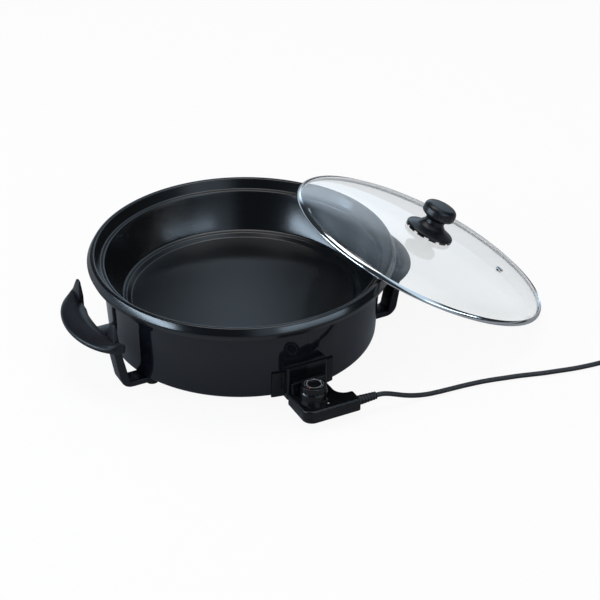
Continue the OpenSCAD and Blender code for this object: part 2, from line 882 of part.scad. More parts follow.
module lid_vent() {
    flange = 2;
    color("silver")
        lean()
            at_vent()
                rotate_extrude()
                    polygon([
                        [vent_d / 2 - 1.2, -glass_t - 1.5], [vent_d / 2, -glass_t - 1.5],
                        [vent_d / 2, seat_gap],
                        [vent_d / 2 + flange, seat_gap], [vent_d / 2 + flange, 0.8], [vent_d / 2 + 1, 1.4],
                        [vent_d / 2 - 1.2, 1.4]]);
}

module knob_washer() {
    hole = knob_screw_d / 2 + 0.2;
    seal_r = 12;
    color("#2a2c2e")
        lean() {
            translate([0, 0, dome_top + fit])
                difference() {
                    cylinder(r = seal_r, h = knob_z - dome_top - fit);
                    translate([0, 0, -1])
                        cylinder(r = hole, h = 4);
                }
            translate([0, 0, dome_under(seal_r) - 1.5])
                difference() {
                    cylinder(r = seal_r, h = 1.5 - fit);
                    translate([0, 0, -1])
                        cylinder(r = hole, h = 4);
                }
        }
}

module knob_screw() {
    head_h = 3;
    head_z = dome_under(12) - 1.5 - head_h;
    color("silver")
        lean() {
            translate([0, 0, head_z])
                cylinder(d = 2 * knob_screw_d, h = head_h);
            translate([0, 0, head_z + 1])
                cylinder(d = knob_screw_d, h = neck_z + knob_h / 2 - head_z - 1);
        }
}

module knob_collar() {
    edge_h = 4;
    wall = 2.5;
    notch_h = 2.6;
    notch_w = 7;
    edge_z = dome(collar_d / 2 - wall) + 2 * seat_gap;
    color("#1a1c1e")
        lean()
            difference() {
                rotate_extrude()
                    polygon(soft([
                        [knob_screw_d / 2 + 0.2, knob_z, 0],
                        [13, knob_z, 0],
                        [14, knob_z + 2, 0],
                        [collar_d / 2 - wall, edge_z + edge_h - 1, 0],
                        [collar_d / 2 - wall, edge_z, 0],
                        [collar_d / 2, edge_z, 0],
                        [collar_d / 2, edge_z + edge_h + 1, 3],
                        [neck_d / 2 + 6, neck_z - 5, 9],
                        [neck_d / 2 + 1.5, neck_z, 0],
                        [knob_screw_d / 2 + 0.2, neck_z, 0]]));
                for (i = [0:notch_count - 1])
                    rotate([0, 0, 360 * i / notch_count])
                        translate([collar_d / 2 - wall - 1, -notch_w / 2, edge_z - 1])
                            cube([wall + 2, notch_w, notch_h + 1]);
            }
}

module knob_cap() {
    color("#1a1c1e")
        lean()
            difference() {
                rotate_extrude()
                    polygon(soft([
                        [0, neck_z, 0],
                        [neck_d / 2, neck_z, 0],
                        [neck_d / 2 - 1, neck_z + 0.25 * knob_h, 5],
                        [knob_d / 2, neck_z + 0.42 * knob_h, 4],
                        [knob_d / 2, cap_top - 2, 8],
                        [0, cap_top, 0]], true, 6));
                translate([0, 0, neck_z - 1])
                    cylinder(d = knob_screw_d + 2 * fit, h = knob_h / 2 + 2);
            }
}

// Control

// The control's outline seen from above, moved in by k
function control_outline(k) = soft([
    [-body_left + k, -control_n, 0],
    [-body_left + k, -front_n + k, front_round - k],
    [arm_reach - k, -front_n + k, arm_round],
    [arm_reach - k, -front_n + arm_w - k, arm_round],
    [body_right - k, -front_n + arm_w - k, cove_r + k],
    [body_right - k, -control_n, 0]]);

function at_height(outline, z) = [for (p = outline) [p[0], p[1], z]];

BOSSES = [
    [-body_left + 5.5, control_n + 5.5],
    [-body_left + 10, front_n - 9],
    [arm_reach - 8, front_n - arm_w + 8]];

module at_bosses() {
    for (b = BOSSES)
        translate([b[0], -b[1], 0])
            children();
}

module control_lower_shell() {
    boss_r = 4;
    head_h = 2.5;
    color("#1e2124")
        difference() {
            translate([0, 0, control_z])
                linear_extrude(lower_h)
                    polygon(control_outline(0));
            difference() {
                translate([0, 0, control_z + shell_wall])
                    linear_extrude(lower_h)
                        polygon(control_outline(shell_wall));
                block(-body_left, body_right, 0, control_n + shell_wall, 0, control_top);
                at_bosses() cylinder(r = boss_r, h = control_top);
            }
            at_bosses() {
                translate([0, 0, control_z - 1])
                    cylinder(r = 3 + fit, h = head_h + 1);
                translate([0, 0, control_z])
                    cylinder(r = 1.5 + fit, h = lower_h + 1);
            }
        }
}

// The ridge at the housing's back, as high as the nose behind it
module hood() {
    side_in = 4;
    top_w = 2.5;
    foot_w = 6.5;
    hood_z = nose_z + nose_h;
    translate([-body_left + side_in, 0, 0])
        rotate([90, 0, 90])
            linear_extrude(body_left + body_right - 2 * side_in)
                polygon(soft([
                    [-control_n, control_top - 1, 0],
                    [-control_n - foot_w, control_top - 1, 0],
                    [-control_n - top_w, hood_z, 1.5],
                    [-control_n, hood_z, 0]]));
}

module control_upper_shell() {
    boss_r = 4;
    color("#1e2124")
        difference() {
            union() {
                skin([
                    at_height(control_outline(bevel_w), control_top),
                    at_height(control_outline(bevel_w * 0.3), bevel_z + bevel_w * 0.7),
                    at_height(control_outline(0), bevel_z),
                    at_height(control_outline(0), split_z - 2)]);
                translate([dial_side, -dial_n, 0])
                    rotate_extrude()
                        polygon(soft([
                            [0, control_top - shell_wall, 0],
                            [turret_r + turret_flare, control_top - shell_wall / 2, 0],
                            [turret_r, control_top + turret_h / 2, 5],
                            [turret_r, turret_z, 1],
                            [0, turret_z, 0]]));
                hood();
            }
            difference() {
                translate([0, 0, split_z - 1])
                    linear_extrude(bevel_z - split_z + 1)
                        polygon(control_outline(shell_wall));
                block(-body_left, body_right, 0, control_n + shell_wall, 0, control_top);
                at_bosses() cylinder(r = boss_r, h = control_top);
            }
            block(-body_left - 1, arm_reach + 1, control_n - 1, front_n + 1, split_z - 3, split_z);
            at_bosses() translate([0, 0, split_z - 1]) cylinder(r = 1.5 + fit, h = 6);
            translate([dial_side, -dial_n, 0])
                cylinder(d = spindle_d + 2 * fit, h = turret_z + 1);
        }
}

module control_screws() {
    color("silver")
        at_bosses() {
            translate([0, 0, control_z + 0.3])
                cylinder(r = 3, h = 2.1);
            translate([0, 0, control_z + 1])
                cylinder(r = 1.5, h = lower_h + 3);
        }
}

module control_nose() {
    color("#202326")
        difference() {
            block(-nose_w / 2, nose_w / 2, nose_n, control_n, nose_z, nose_z + nose_h);
            for (s = [-1, 1])
                rod(s * pin_gap / 2, nose_n - 1, control_n + 1, pin_z, 2 * (socket_r + fit));
            rod(0, nose_n - 1, control_n + 1, probe_z, probe_d + 2 * fit);
        }
}

module contact_sockets() {
    color("goldenrod")
        for (s = [-1, 1])
            difference() {
                rod(s * pin_gap / 2, nose_n + 1, control_n, pin_z, 2 * socket_r);
                rod(s * pin_gap / 2, nose_n, control_n - 2, pin_z, pin_d + 2 * fit);
            }
}

module probe() {
    color("silver")
        translate([0, -control_n, probe_z])
            rotate([-90, 0, 0])
                rotate_extrude()
                    polygon(soft([
                        [0, 0, 0],
                        [probe_d / 2, 0, 0],
                        [probe_d / 2, control_n - probe_tip_n, probe_d / 2 - 0.5],
                        [0, control_n - probe_tip_n, 0]]));
}

module thermostat_switch() {
    gap = 0.3;
    half_w = 14;
    z0 = control_z + shell_wall + gap;
    z1 = control_top - bevel_w - 2;
    color("#b9a26a")
        difference() {
            union() {
                block(dial_side - half_w, dial_side + half_w, dial_n - 13, dial_n + 13, z0, z1);
                translate([dial_side, -dial_n, z1 - 1])
                    cylinder(d = spindle_d + 6, h = bevel_z - z1 + 1 - gap);
            }
            translate([dial_side, -dial_n, spindle_z - gap])
                cylinder(d = spindle_d + 2 * gap, h = control_h);
        }
}

// Dial

module dial() {
    top_r = dial_d / 2 - 1.5;
    dip = 2;
    flute_d = 2.4;
    bore_h = dial_h - dip - 2;
    color("#1b1d1f")
        translate([dial_side, -dial_n, turret_z + dial_gap])
            difference() {
                rotate_extrude()
                    polygon(soft([
                        [0, 0, 0],
                        [dial_d / 2, 0, 0],
                        [dial_d / 2, 3, 1],
                        [top_r, 5, 1],
                        [top_r - 0.5, dial_h, 1.5],
                        [dial_dip_d / 2 + 1, dial_h, 1],
                        [dial_dip_d / 2 - 1, dial_h - dip, 1],
                        [0, dial_h - dip, 0]]));
                for (i = [0:flute_count - 1])
                    rotate([0, 0, 360 * i / flute_count])
                        translate([top_r + 0.4, 0, 4.5])
                            cylinder(d = flute_d, h = dial_h - 6.5);
                translate([0, 0, -1])
                    cylinder(d = spindle_d + 2 * fit, h = bore_h + 1);
            }
}

module dial_spindle() {
    bore_h = dial_h - 4;
    color("silver")
        translate([dial_side, -dial_n, spindle_z])
            cylinder(d = spindle_d, h = turret_z + dial_gap + bore_h - spindle_z);
}

// Cord

module strain_relief() {
    pitch = boot_l / (boot_ribs + 1);
    rib_w = pitch * 0.55;
    tail_d = cord_d + 3;
    function core(x) = (boot_d - (boot_d - tail_d) * x / boot_l) / 2;
    color("#17191b")
        translate([arm_reach, -boot_n, boot_z])
            rotate([0, 90, 0])
                rotate_extrude()
                    polygon(concat(
                        [[0, 0], [core(0), 0]],
                        [for (i = [0:boot_ribs])
                            let (x = pitch * i)
                            each [[core(x), x + pitch - rib_w], [core(x) - 1.2, x + pitch - rib_w],
                                [core(x) - 1.2, x + pitch - 0.8], [core(x), x + pitch - 0.8]]],
                        [[core(boot_l) + 0.8, boot_l - 0.8], [core(boot_l) + 0.8, boot_l], [0, boot_l]]));
}

module cord() {
    color("#202224")
        tube(CORD_ROUTE, cord_d, 10);
}

// Turns in each layer of the coil
coil_turns = 1.875;
coil_out = coil_d / 2 + coil_step * coil_turns / 2;
coil_in = coil_out - coil_step * coil_turns;
coil_span = 360 * coil_turns;
// How far the reversing half turn is drawn in, clear of the turn outside it
coil_dip = 1.5;

// The coil: in along the table, up in the half turn where it reverses, and out on top
function coil_point(a) =
    let (
        climb = min(1, max(0, (a - coil_span) / 180)),
        r = a < coil_span ? coil_out - coil_step * a / 360
            : a < coil_span + 180 ? coil_in - coil_dip * sin(180 * climb)
            : coil_in + coil_step * (a - coil_span - 180) / 360,
        z = coil_z + coil_rise * (1 - cos(180 * climb)) / 2
    )
    [coil_x + r * cos(a - 90), coil_y + r * sin(a - 90), z];

coil_steps = 102;
COIL_PATH = concat(
    [[coil_x - cord_d, coil_y - coil_out, coil_z]],
    [for (i = [0:coil_steps]) coil_point((2 * coil_span + 180) * i / coil_steps)],
    [[coil_x + coil_out, coil_y + cord_d, coil_z + coil_rise]]);
// Least gap between the cord's surface and any turn that lies beside or above it
COIL_GAP = min([for (i = [0:coil_steps - 8], j = [i + 8:len(COIL_PATH) - 1])
    norm(COIL_PATH[i] - COIL_PATH[j])]) - cord_d;
echo(coil_gap = COIL_GAP);

module cord_coil() {
    color("#202224")
        tube(COIL_PATH, cord_d, 6);
}

module cord_tie() {
    tie_w = 8;
    gap = pass;
    in_r = coil_in - cord_d / 2 - gap;
    out_r = coil_out + cord_d / 2 + gap;
    z0 = coil_z - cord_d / 2 - gap;
    z1 = coil_z + coil_rise + cord_d / 2 + gap;
    outer = [[in_r - tie_t, z0 - tie_t, 3], [out_r + tie_t, z0 - tie_t, 3], [out_r + tie_t, z1 + tie_t, 3],
        [in_r - tie_t, z1 + tie_t, 3]];
    inner = [[in_r, z0, 2], [out_r, z0, 2], [out_r, z1, 2], [in_r, z1, 2]];
    color("#2b2d30")
        translate([coil_x, coil_y, 0])
            rotate([90, 0, 60])
                linear_extrude(tie_w, center = true)
                    difference() {
                        polygon(soft(outer));
                        polygon(soft(inner));
                    }
}

module plug_lead() {
    color("#202224")
        tube(PLUG_ROUTE, cord_d, 10);
}

module plug_body() {
    relief_l = 20;
    grip_r = 11.5;
    flat_w = 12;
    color("#1c1e20")
        translate([PLUG_ROUTE[0][0], plug_y, plug_z])
            rotate([-90, 0, 0])
                difference() {
                    rotate_extrude()
                        polygon(soft([
                            [0, 0, 0],
                            [cord_d / 2 + 1.2, 0, 0],
                            [cord_d / 2 + 2.2, relief_l, 0],
                            [grip_r, relief_l, 2],
                            [grip_r + 1, relief_l + plug_l * 0.5, 6],
                            [plug_d / 2, relief_l + plug_l * 0.66, 3],
                            [plug_d / 2, relief_l + plug_l, 1.5],
                            [0, relief_l + plug_l, 0]]));
                    for (s = [-1, 1])
                        translate([s * plug_d / 2 - 1.5, -flat_w / 2, relief_l + plug_l * 0.7])
                            cube([3, flat_w, plug_l]);
                }
}

module plug_pins() {
    blade_d = 4.8;
    blade_l = 19;
    blade_gap = 19;
    relief_l = 20;
    color("silver")
        for (s = [-1, 1])
            translate([PLUG_ROUTE[0][0], plug_y + relief_l + plug_l, plug_z + s * blade_gap / 2])
                rotate([-90, 0, 0])
                    cylinder(d = blade_d, h = blade_l);
}

pan();
outer_skirt();
base_plate();
centre_stud();
base_nut();
heating_element();
element_clips();
sensor_block();
terminal_pins();
terminal_insulator();
socket_guard();
guard_screws();
left_handle();
right_handle();
feet();
foot_screws();
foot_nuts();
lid_glass();
lid_band();
lid_vent();
knob_cap();
knob_collar();
knob_screw();
knob_washer();
control_lower_shell();
control_upper_shell();
control_nose();
contact_sockets();
probe();
thermostat_switch();
control_screws();
dial();
dial_spindle();
strain_relief();
cord();
cord_coil();
cord_tie();
plug_lead();
plug_body();
plug_pins();
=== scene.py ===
"""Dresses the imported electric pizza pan: studio, lead, pan and skirt, handles, control and glass lid.

Sizes are in metres. Fields hold angles in degrees, and matrices take them in radians.
"""
import logging
import math
from dataclasses import dataclass
from enum import Enum
from typing import Mapping, Sequence

import bpy
from mathutils import Matrix, Quaternion, Vector


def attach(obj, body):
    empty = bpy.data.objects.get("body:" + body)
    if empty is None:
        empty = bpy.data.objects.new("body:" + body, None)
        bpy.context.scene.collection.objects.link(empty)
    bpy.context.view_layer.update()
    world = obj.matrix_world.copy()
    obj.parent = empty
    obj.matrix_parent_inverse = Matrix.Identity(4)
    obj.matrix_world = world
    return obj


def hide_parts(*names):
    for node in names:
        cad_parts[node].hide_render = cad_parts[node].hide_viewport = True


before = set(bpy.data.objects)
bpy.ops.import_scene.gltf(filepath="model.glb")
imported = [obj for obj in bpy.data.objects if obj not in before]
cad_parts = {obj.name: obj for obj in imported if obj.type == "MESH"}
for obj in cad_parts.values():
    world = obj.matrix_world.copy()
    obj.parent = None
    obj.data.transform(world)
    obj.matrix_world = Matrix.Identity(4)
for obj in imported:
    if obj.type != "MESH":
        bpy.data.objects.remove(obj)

LOG = logging.getLogger("pizza_pan")
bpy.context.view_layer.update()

Colour = tuple[float, float, float]
Point = tuple[float, float]
Corner = tuple[float, float, float]
Ring = list[Corner]
Piece = bpy.types.Object

# Points that are closer than this are merged
WELD = 5e-6
# Turns an outline of Y and Z, drawn on the ground, upright, and its height along X
ALONG_X = Matrix(((0.0, 0.0, 1.0, 0.0), (1.0, 0.0, 0.0, 0.0), (0.0, 1.0, 0.0, 0.0), (0.0, 0.0, 0.0, 1.0)))
QUARTER = math.pi / 2
# The plain white of the studio, and the tint of the lamps whose reflections are cool
WHITE: Colour = (1.0, 1.0, 1.0)
COOL: Colour = (0.78, 0.98, 1.18)
# Where the dial stands on the control, and the radius of the bore for its spindle
DIAL_AXIS: Point = (-0.006, -0.2265)
SPINDLE_BORE = 0.00305
# The handles' straps with the feet under them: how far off to each side, and how far behind the pan's axis
STRAP_OFF = 0.0625
STRAP_BACK = 0.010


class Body(Enum):
    """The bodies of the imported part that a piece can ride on."""

    COOKER = "cooker"
    LID = "lid"
    CONTROL = "control"
    DIAL = "dial"


# Shader sheets


class Wire:
    """The output of a shader node, which can be used in plain arithmetic."""

    def __init__(self, sheet: "ShaderSheet", socket: bpy.types.NodeSocket) -> None:
        """Keeps the sheet and the socket."""
        self.sheet = sheet
        self.socket = socket

    def _math(self, operation: str, first: "Wire | float", second: "Wire | float") -> "Wire":
        """Adds one Math node."""
        return self.sheet.add("ShaderNodeMath", {"operation": operation}, {0: first, 1: second})

    def __add__(self, other: "Wire | float") -> "Wire":
        """This value plus another."""
        return self._math("ADD", self, other)

    def __radd__(self, other: float) -> "Wire":
        """A number plus this value."""
        return self._math("ADD", other, self)

    def __sub__(self, other: "Wire | float") -> "Wire":
        """This value less another."""
        return self._math("SUBTRACT", self, other)

    def __rsub__(self, other: float) -> "Wire":
        """A number less this value."""
        return self._math("SUBTRACT", other, self)

    def __mul__(self, other: "Wire | float") -> "Wire":
        """This value times another."""
        return self._math("MULTIPLY", self, other)

    def __rmul__(self, other: float) -> "Wire":
        """A number times this value."""
        return self._math("MULTIPLY", other, self)

    def over(self, limit: float) -> "Wire":
        """One where this value is above a limit, and zero elsewhere."""
        return self._math("GREATER_THAN", self, limit)

    def most(self, other: "Wire | float") -> "Wire":
        """The larger of this value and another."""
        return self._math("MAXIMUM", self, other)


class ShaderSheet:
    """The nodes of one material or of the world."""

    def __init__(self, tree: bpy.types.NodeTree) -> None:
        """Starts with an empty tree."""
        self.tree = tree
        tree.nodes.clear()

    @classmethod
    def for_material(cls, name: str) -> tuple["ShaderSheet", bpy.types.Material]:
        """Makes a new material.

        Args:
            name: The material's name.

        Returns:
            Its sheet, and the material.
        """
        material = bpy.data.materials.new(name)
        material.use_nodes = True
        return cls(material.node_tree), material

    def add(
        self,
        kind: str,
        settings: Mapping[str, object] | None = None,
        inputs: Mapping[str | int, object] | None = None,
        output: str | int = 0,
    ) -> Wire:
        """Adds one node.

        Args:
            kind: The node's type.
            settings: Attributes of the node, set first. The key stops sets a ramp's stops.
            inputs: Values or wires for its sockets, by name or number.
            output: The output that is handed on.

        Returns:
            The chosen output.
        """
        node = self.tree.nodes.new(kind)
        for key, value in (settings or {}).items():
            if key == "stops":
                ramp = node.color_ramp.elements
                for stop, (place, level) in zip((ramp[0], ramp[1]), value):
                    stop.position = place
                    stop.color = (level, level, level, 1.0)
            else:
                setattr(node, key, value)
        for key, value in (inputs or {}).items():
            if isinstance(value, Wire):
                self.tree.links.new(value.socket, node.inputs[key])
            else:
                node.inputs[key].default_value = value
        return Wire(self, node.outputs[output])

    def place(self, stretch: Colour = (1.0, 1.0, 1.0)) -> Wire:
        """Object coordinates, stretched along the axes."""
        here = self.add("ShaderNodeTexCoord", output="Object")
        return self.add("ShaderNodeMapping", None, {"Vector": here, "Scale": stretch})

    def part(self, place: Wire, axis: str) -> Wire:
        """One coordinate of a place."""
        return self.add("ShaderNodeSeparateXYZ", None, {0: place}, axis)

    def noise(self, place: Wire, size: float, detail: float = 3.0, rough: float = 0.5) -> Wire:
        """Cloudy values from 0 to 1 with patches of the given size."""
        inputs = {"Vector": place, "Scale": 1.0 / size, "Detail": detail, "Roughness": rough}
        return self.add("ShaderNodeTexNoise", None, inputs, "Fac")

    def cells(self, place: Wire, size: float, output: str = "Distance") -> Wire:
        """Voronoi cells of the given size."""
        return self.add("ShaderNodeTexVoronoi", None, {"Vector": place, "Scale": 1.0 / size}, output)

    def ramp(self, value: Wire, low: Point, high: Point) -> Wire:
        """Maps a value through two stops, each a place and a level."""
        return self.add("ShaderNodeValToRGB", {"stops": (low, high)}, {"Fac": value}, "Color")

    def blend(self, share: Wire, first: Colour, second: Colour | Wire) -> Wire:
        """Mixes two colours."""
        end = second if isinstance(second, Wire) else (*second, 1.0)
        return self.add("ShaderNodeMix", {"data_type": "RGBA"}, {0: share, 6: (*first, 1.0), 7: end}, 2)

    def bump(self, height: Wire, depth: float) -> Wire:
        """A normal bent by a height in units of depth."""
        return self.add("ShaderNodeBump", None, {"Height": height, "Distance": depth, "Strength": 1.0})

    def close(self, shader: Wire, output: str = "ShaderNodeOutputMaterial") -> None:
        """Ends the sheet in its output."""
        node = self.tree.nodes.new(output)
        self.tree.links.new(shader.socket, node.inputs["Surface"])


# Finishes


@dataclass(frozen=True)
class Surface:
    """What covers a piece.

    Attributes:
        name: The material's name.
        slot: The record's material slot; not used.
        colour: Main colour.
        second: The colour that it drifts to.
    """

    name: str
    slot: str
    colour: Colour
    second: Colour

    def shader(self, sheet: ShaderSheet) -> Wire:
        """The surface's shader, which each kind of surface makes in its own way."""
        raise NotImplementedError

    def material(self) -> bpy.types.Material:
        """Makes the material, once for each surface.

        Returns:
            The material.
        """
        if self.name in bpy.data.materials:
            return bpy.data.materials[self.name]
        sheet, material = ShaderSheet.for_material(self.name)
        sheet.close(self.shader(sheet))
        return material


@dataclass(frozen=True)
class Finish(Surface):
    """A finish of two close colours in clouds, with a roughness that varies and a fine relief.

    Attributes:
        roughness: Middle roughness.
        spread: How much the roughness varies.
        cloud: Size of the clouds.
        grain: Size of the relief.
        depth: Depth of the relief.
        metallic: One for bare metal, and zero for the rest.
        specular: Specular level.
        smear_size: Size of the smears in the roughness, against the clouds.
        smear_share: How far the smears move the roughness.
        relief_share: How far the relief moves the roughness.
    """

    roughness: float
    spread: float
    cloud: float
    grain: float
    depth: float
    metallic: float = 0.0
    specular: float = 0.5
    smear_size: float = 0.6
    smear_share: float = 1.5
    relief_share: float = 0.5

    def relief(self, sheet: ShaderSheet) -> Wire:
        """The height of the surface's fine relief, from 0 to 1."""
        return sheet.noise(sheet.place(), self.grain, detail=2.0)

    def tint(self, sheet: ShaderSheet) -> Wire:
        """The surface's colour."""
        return sheet.blend(sheet.noise(sheet.place(), self.cloud, detail=4.0), self.colour, self.second)

    def gloss(self, sheet: ShaderSheet, relief: Wire) -> Wire:
        """The surface's roughness."""
        smear = sheet.noise(sheet.place(), self.cloud * self.smear_size, detail=5.0, rough=0.65)
        return self.roughness + self.spread * ((smear - 0.5) * self.smear_share + (relief - 0.5) * self.relief_share)

    def shader(self, sheet: ShaderSheet) -> Wire:
        """Puts colour, roughness and relief together.

        Args:
            sheet: The material's sheet.

        Returns:
            The shader.
        """
        relief = self.relief(sheet)
        return sheet.add("ShaderNodeBsdfPrincipled", None, {
            "Base Color": self.tint(sheet),
            "Roughness": self.gloss(sheet, relief),
            "Metallic": self.metallic,
            "Specular IOR Level": self.specular,
            "Normal": sheet.bump(relief, self.depth),
        })


@dataclass(frozen=True)
class PanCoat(Finish):
    """A sprayed non-stick coating: fine pebbled relief, paler specks, and glossier on the rim above the lid's seat.

    Attributes:
        droplets: Share of the droplets in the relief.
        swell: Share of the slow swell in the relief.
        swell_size: Size of the swell, against the droplets.
        speck_size: Distance of the specks, against the droplets.
        cloudiness: Share of the clouds in the colour.
        rim_height: Height above which the coating is glossier.
        rim_gain: How much less rough it is there.
    """

    droplets: float = 0.7
    swell: float = 0.3
    swell_size: float = 4.0
    speck_size: float = 5.0
    cloudiness: float = 0.5
    rim_height: float = 0.1255
    rim_gain: float = 0.03

    def relief(self, sheet: ShaderSheet) -> Wire:
        """Rounded spray droplets over a slow swell."""
        swell = sheet.noise(sheet.place(), self.grain * self.swell_size)
        return self.droplets * sheet.cells(sheet.place(), self.grain) + self.swell * swell

    def tint(self, sheet: ShaderSheet) -> Wire:
        """The main colour with a few paler specks."""
        specks = sheet.ramp(sheet.cells(sheet.place(), self.grain * self.speck_size), (0.08, 0.5), (0.16, 0.0))
        clouds = sheet.noise(sheet.place(), self.cloud, detail=4.0)
        return sheet.blend(self.cloudiness * clouds + specks, self.colour, self.second)

    def gloss(self, sheet: ShaderSheet, relief: Wire) -> Wire:
        """The coating's roughness, lower on the rim."""
        height = sheet.part(sheet.place(), "Z")
        return super().gloss(sheet, relief) - self.rim_gain * height.over(self.rim_height)


@dataclass(frozen=True)
class Enamel(Finish):
    """Glossy stoved enamel with a faint orange peel."""

    def relief(self, sheet: ShaderSheet) -> Wire:
        """Slow ripples."""
        return sheet.noise(sheet.place(), self.grain, detail=1.0, rough=0.4)


@dataclass(frozen=True)
class Brushed(Finish):
    """Metal with fine lines, stretched along one axis.

    Attributes:
        stretch: How the lines are squeezed along the axes.
        line_size: Size of the lines, against the grain.
    """

    stretch: Colour = (1.0, 1.0, 12.0)
    line_size: float = 4.0

    def relief(self, sheet: ShaderSheet) -> Wire:
        """Lines across the stretched axis."""
        return sheet.noise(sheet.place(self.stretch), self.grain * self.line_size, detail=4.0, rough=0.7)


@dataclass(frozen=True)
class Spangled(Finish):
    """Zinc-coated sheet with its crystal pattern."""

    def tint(self, sheet: ShaderSheet) -> Wire:
        """Each crystal has its own shade."""
        shade = sheet.ramp(sheet.cells(sheet.place(), self.cloud, "Color"), (0.2, 0.0), (0.8, 1.0))
        return sheet.blend(shade, self.colour, self.second)


@dataclass(frozen=True)
class ClearGlass(Surface):
    """Clear tempered glass with a faint tint and a trace of wiping marks.

    Attributes:
        ior: Index of refraction.
        wipe_size: Size of the wiping marks.
        wipe_stretch: How they are squeezed along the axes.
        wipe_rough: Roughness of the strongest of them.
    """

    ior: float = 1.5
    wipe_size: float = 0.05
    wipe_stretch: Colour = (1.0, 3.0, 1.0)
    wipe_rough: float = 0.03

    def shader(self, sheet: ShaderSheet) -> Wire:
        """Clear glass, barely rough where it was wiped.

        Args:
            sheet: The material's sheet.

        Returns:
            The shader.
        """
        wiping = sheet.noise(sheet.place(self.wipe_stretch), self.wipe_size, detail=5.0, rough=0.6)
        return sheet.add("ShaderNodeBsdfPrincipled", None, {
            "Base Color": sheet.blend(wiping, self.colour, self.second),
            "Roughness": self.wipe_rough * sheet.ramp(wiping, (0.45, 0.0), (0.8, 1.0)),
            "IOR": self.ior,
            "Transmission Weight": 1.0,
        })


@dataclass(frozen=True)
class Finishes:
    """Every finish on the pan."""

    nonstick: Surface = PanCoat(
        "nonstick_coating", "nonstick", (0.0040, 0.0046, 0.0054), (0.0075, 0.0084, 0.0096),
        roughness=0.22, spread=0.02, cloud=0.05, grain=0.0006, depth=0.000007)
    enamel: Surface = Enamel(
        "black_enamel", "gloss_black", (0.0035, 0.004, 0.0062), (0.0055, 0.006, 0.009),
        roughness=0.06, spread=0.03, cloud=0.08, grain=0.004, depth=0.000012)
    phenolic: Surface = Finish(
        "phenolic_moulding", "bakelite", (0.0048, 0.0053, 0.0076), (0.0080, 0.0088, 0.0120),
        roughness=0.34, spread=0.08, cloud=0.02, grain=0.0007, depth=0.00002, specular=0.4)
    gloss: Surface = Finish(
        "gloss_moulding", "black_plastic", (0.0032, 0.0036, 0.0042), (0.0056, 0.0062, 0.0072),
        roughness=0.17, spread=0.06, cloud=0.015, grain=0.0005, depth=0.000006, specular=0.3)
    rubber: Surface = Finish(
        "black_rubber", "rubber", (0.008, 0.008, 0.009), (0.015, 0.015, 0.016),
        roughness=0.62, spread=0.1, cloud=0.008, grain=0.0004, depth=0.00004)
    sheath: Surface = Finish(
        "lead_sheath", "cord_rubber", (0.006, 0.006, 0.007), (0.012, 0.012, 0.013),
        roughness=0.42, spread=0.1, cloud=0.012, grain=0.0005, depth=0.00003)
    bright: Surface = Brushed(
        "bright_steel", "bright_steel", (0.50, 0.51, 0.52), (0.62, 0.63, 0.64),
        roughness=0.16, spread=0.08, cloud=0.02, grain=0.0003, depth=0.000006, metallic=1.0)
    steel: Surface = Brushed(
        "plain_steel", "steel", (0.48, 0.48, 0.48), (0.60, 0.60, 0.59),
        roughness=0.32, spread=0.12, cloud=0.006, grain=0.0003, depth=0.00001, metallic=1.0)
    zinc: Surface = Spangled(
        "zinc_sheet", "zinc_steel", (0.42, 0.43, 0.44), (0.58, 0.59, 0.60),
        roughness=0.40, spread=0.12, cloud=0.009, grain=0.0006, depth=0.00001, metallic=1.0)
    element: Surface = Finish(
        "element_sheath", "element_sheath", (0.12, 0.11, 0.10), (0.22, 0.19, 0.16),
        roughness=0.5, spread=0.15, cloud=0.012, grain=0.0006, depth=0.00002, metallic=1.0)
    cast: Surface = Finish(
        "cast_aluminium", "aluminium", (0.52, 0.52, 0.53), (0.62, 0.62, 0.63),
        roughness=0.45, spread=0.12, cloud=0.006, grain=0.0008, depth=0.00004, metallic=1.0)
    brass: Surface = Brushed(
        "contact_brass", "brass", (0.60, 0.43, 0.17), (0.70, 0.52, 0.24),
        roughness=0.28, spread=0.1, cloud=0.006, grain=0.0003, depth=0.00001, metallic=1.0)
    ceramic: Surface = Finish(
        "fired_ceramic", "ceramic", (0.60, 0.56, 0.48), (0.68, 0.64, 0.56),
        roughness=0.5, spread=0.1, cloud=0.006, grain=0.0005, depth=0.00003)
    print_white: Surface = Finish(
        "white_print", "black_plastic", (0.62, 0.63, 0.64), (0.74, 0.75, 0.75),
        roughness=0.45, spread=0.06, cloud=0.002, grain=0.0003, depth=0.000005)
    print_red: Surface = Finish(
        "red_print", "black_plastic", (0.30, 0.02, 0.015), (0.40, 0.04, 0.03),
        roughness=0.45, spread=0.06, cloud=0.002, grain=0.0003, depth=0.000005)
    glass: Surface = ClearGlass("lid_glass_clear", "glass", (0.955, 0.975, 0.985), (0.93, 0.96, 0.975))


FINISHES = Finishes()


# Outlines and places


def rounded(corners: Sequence[Corner], closed: bool, steps: int = 6) -> list[Point]:
    """Rounds the corners of an outline.

    Args:
        corners: Points, each with the radius of its corner.
        closed: Whether the last corner joins the first.
        steps: Straight pieces in each round.

    Returns:
        The points of the rounded outline.
    """
    points: list[Point] = []
    count = len(corners)
    for i, (x, y, radius) in enumerate(corners):
        here = Vector((x, y))
        if radius == 0 or (not closed and i in (0, count - 1)):
            points.append((x, y))
            continue
        back = (Vector(corners[i - 1][:2]) - here).normalized()
        ahead = (Vector(corners[(i + 1) % count][:2]) - here).normalized()
        half = back.angle(ahead) / 2
        centre = here + (back + ahead).normalized() * (radius / math.sin(half))
        first = here + back * (radius / math.tan(half)) - centre
        last = here + ahead * (radius / math.tan(half)) - centre
        start = math.atan2(first.y, first.x)
        sweep = (math.atan2(last.y, last.x) - start + math.pi) % math.tau - math.pi
        for k in range(steps + 1):
            angle = start + sweep * k / steps
            points.append((centre.x + radius * math.cos(angle), centre.y + radius * math.sin(angle)))
    return points


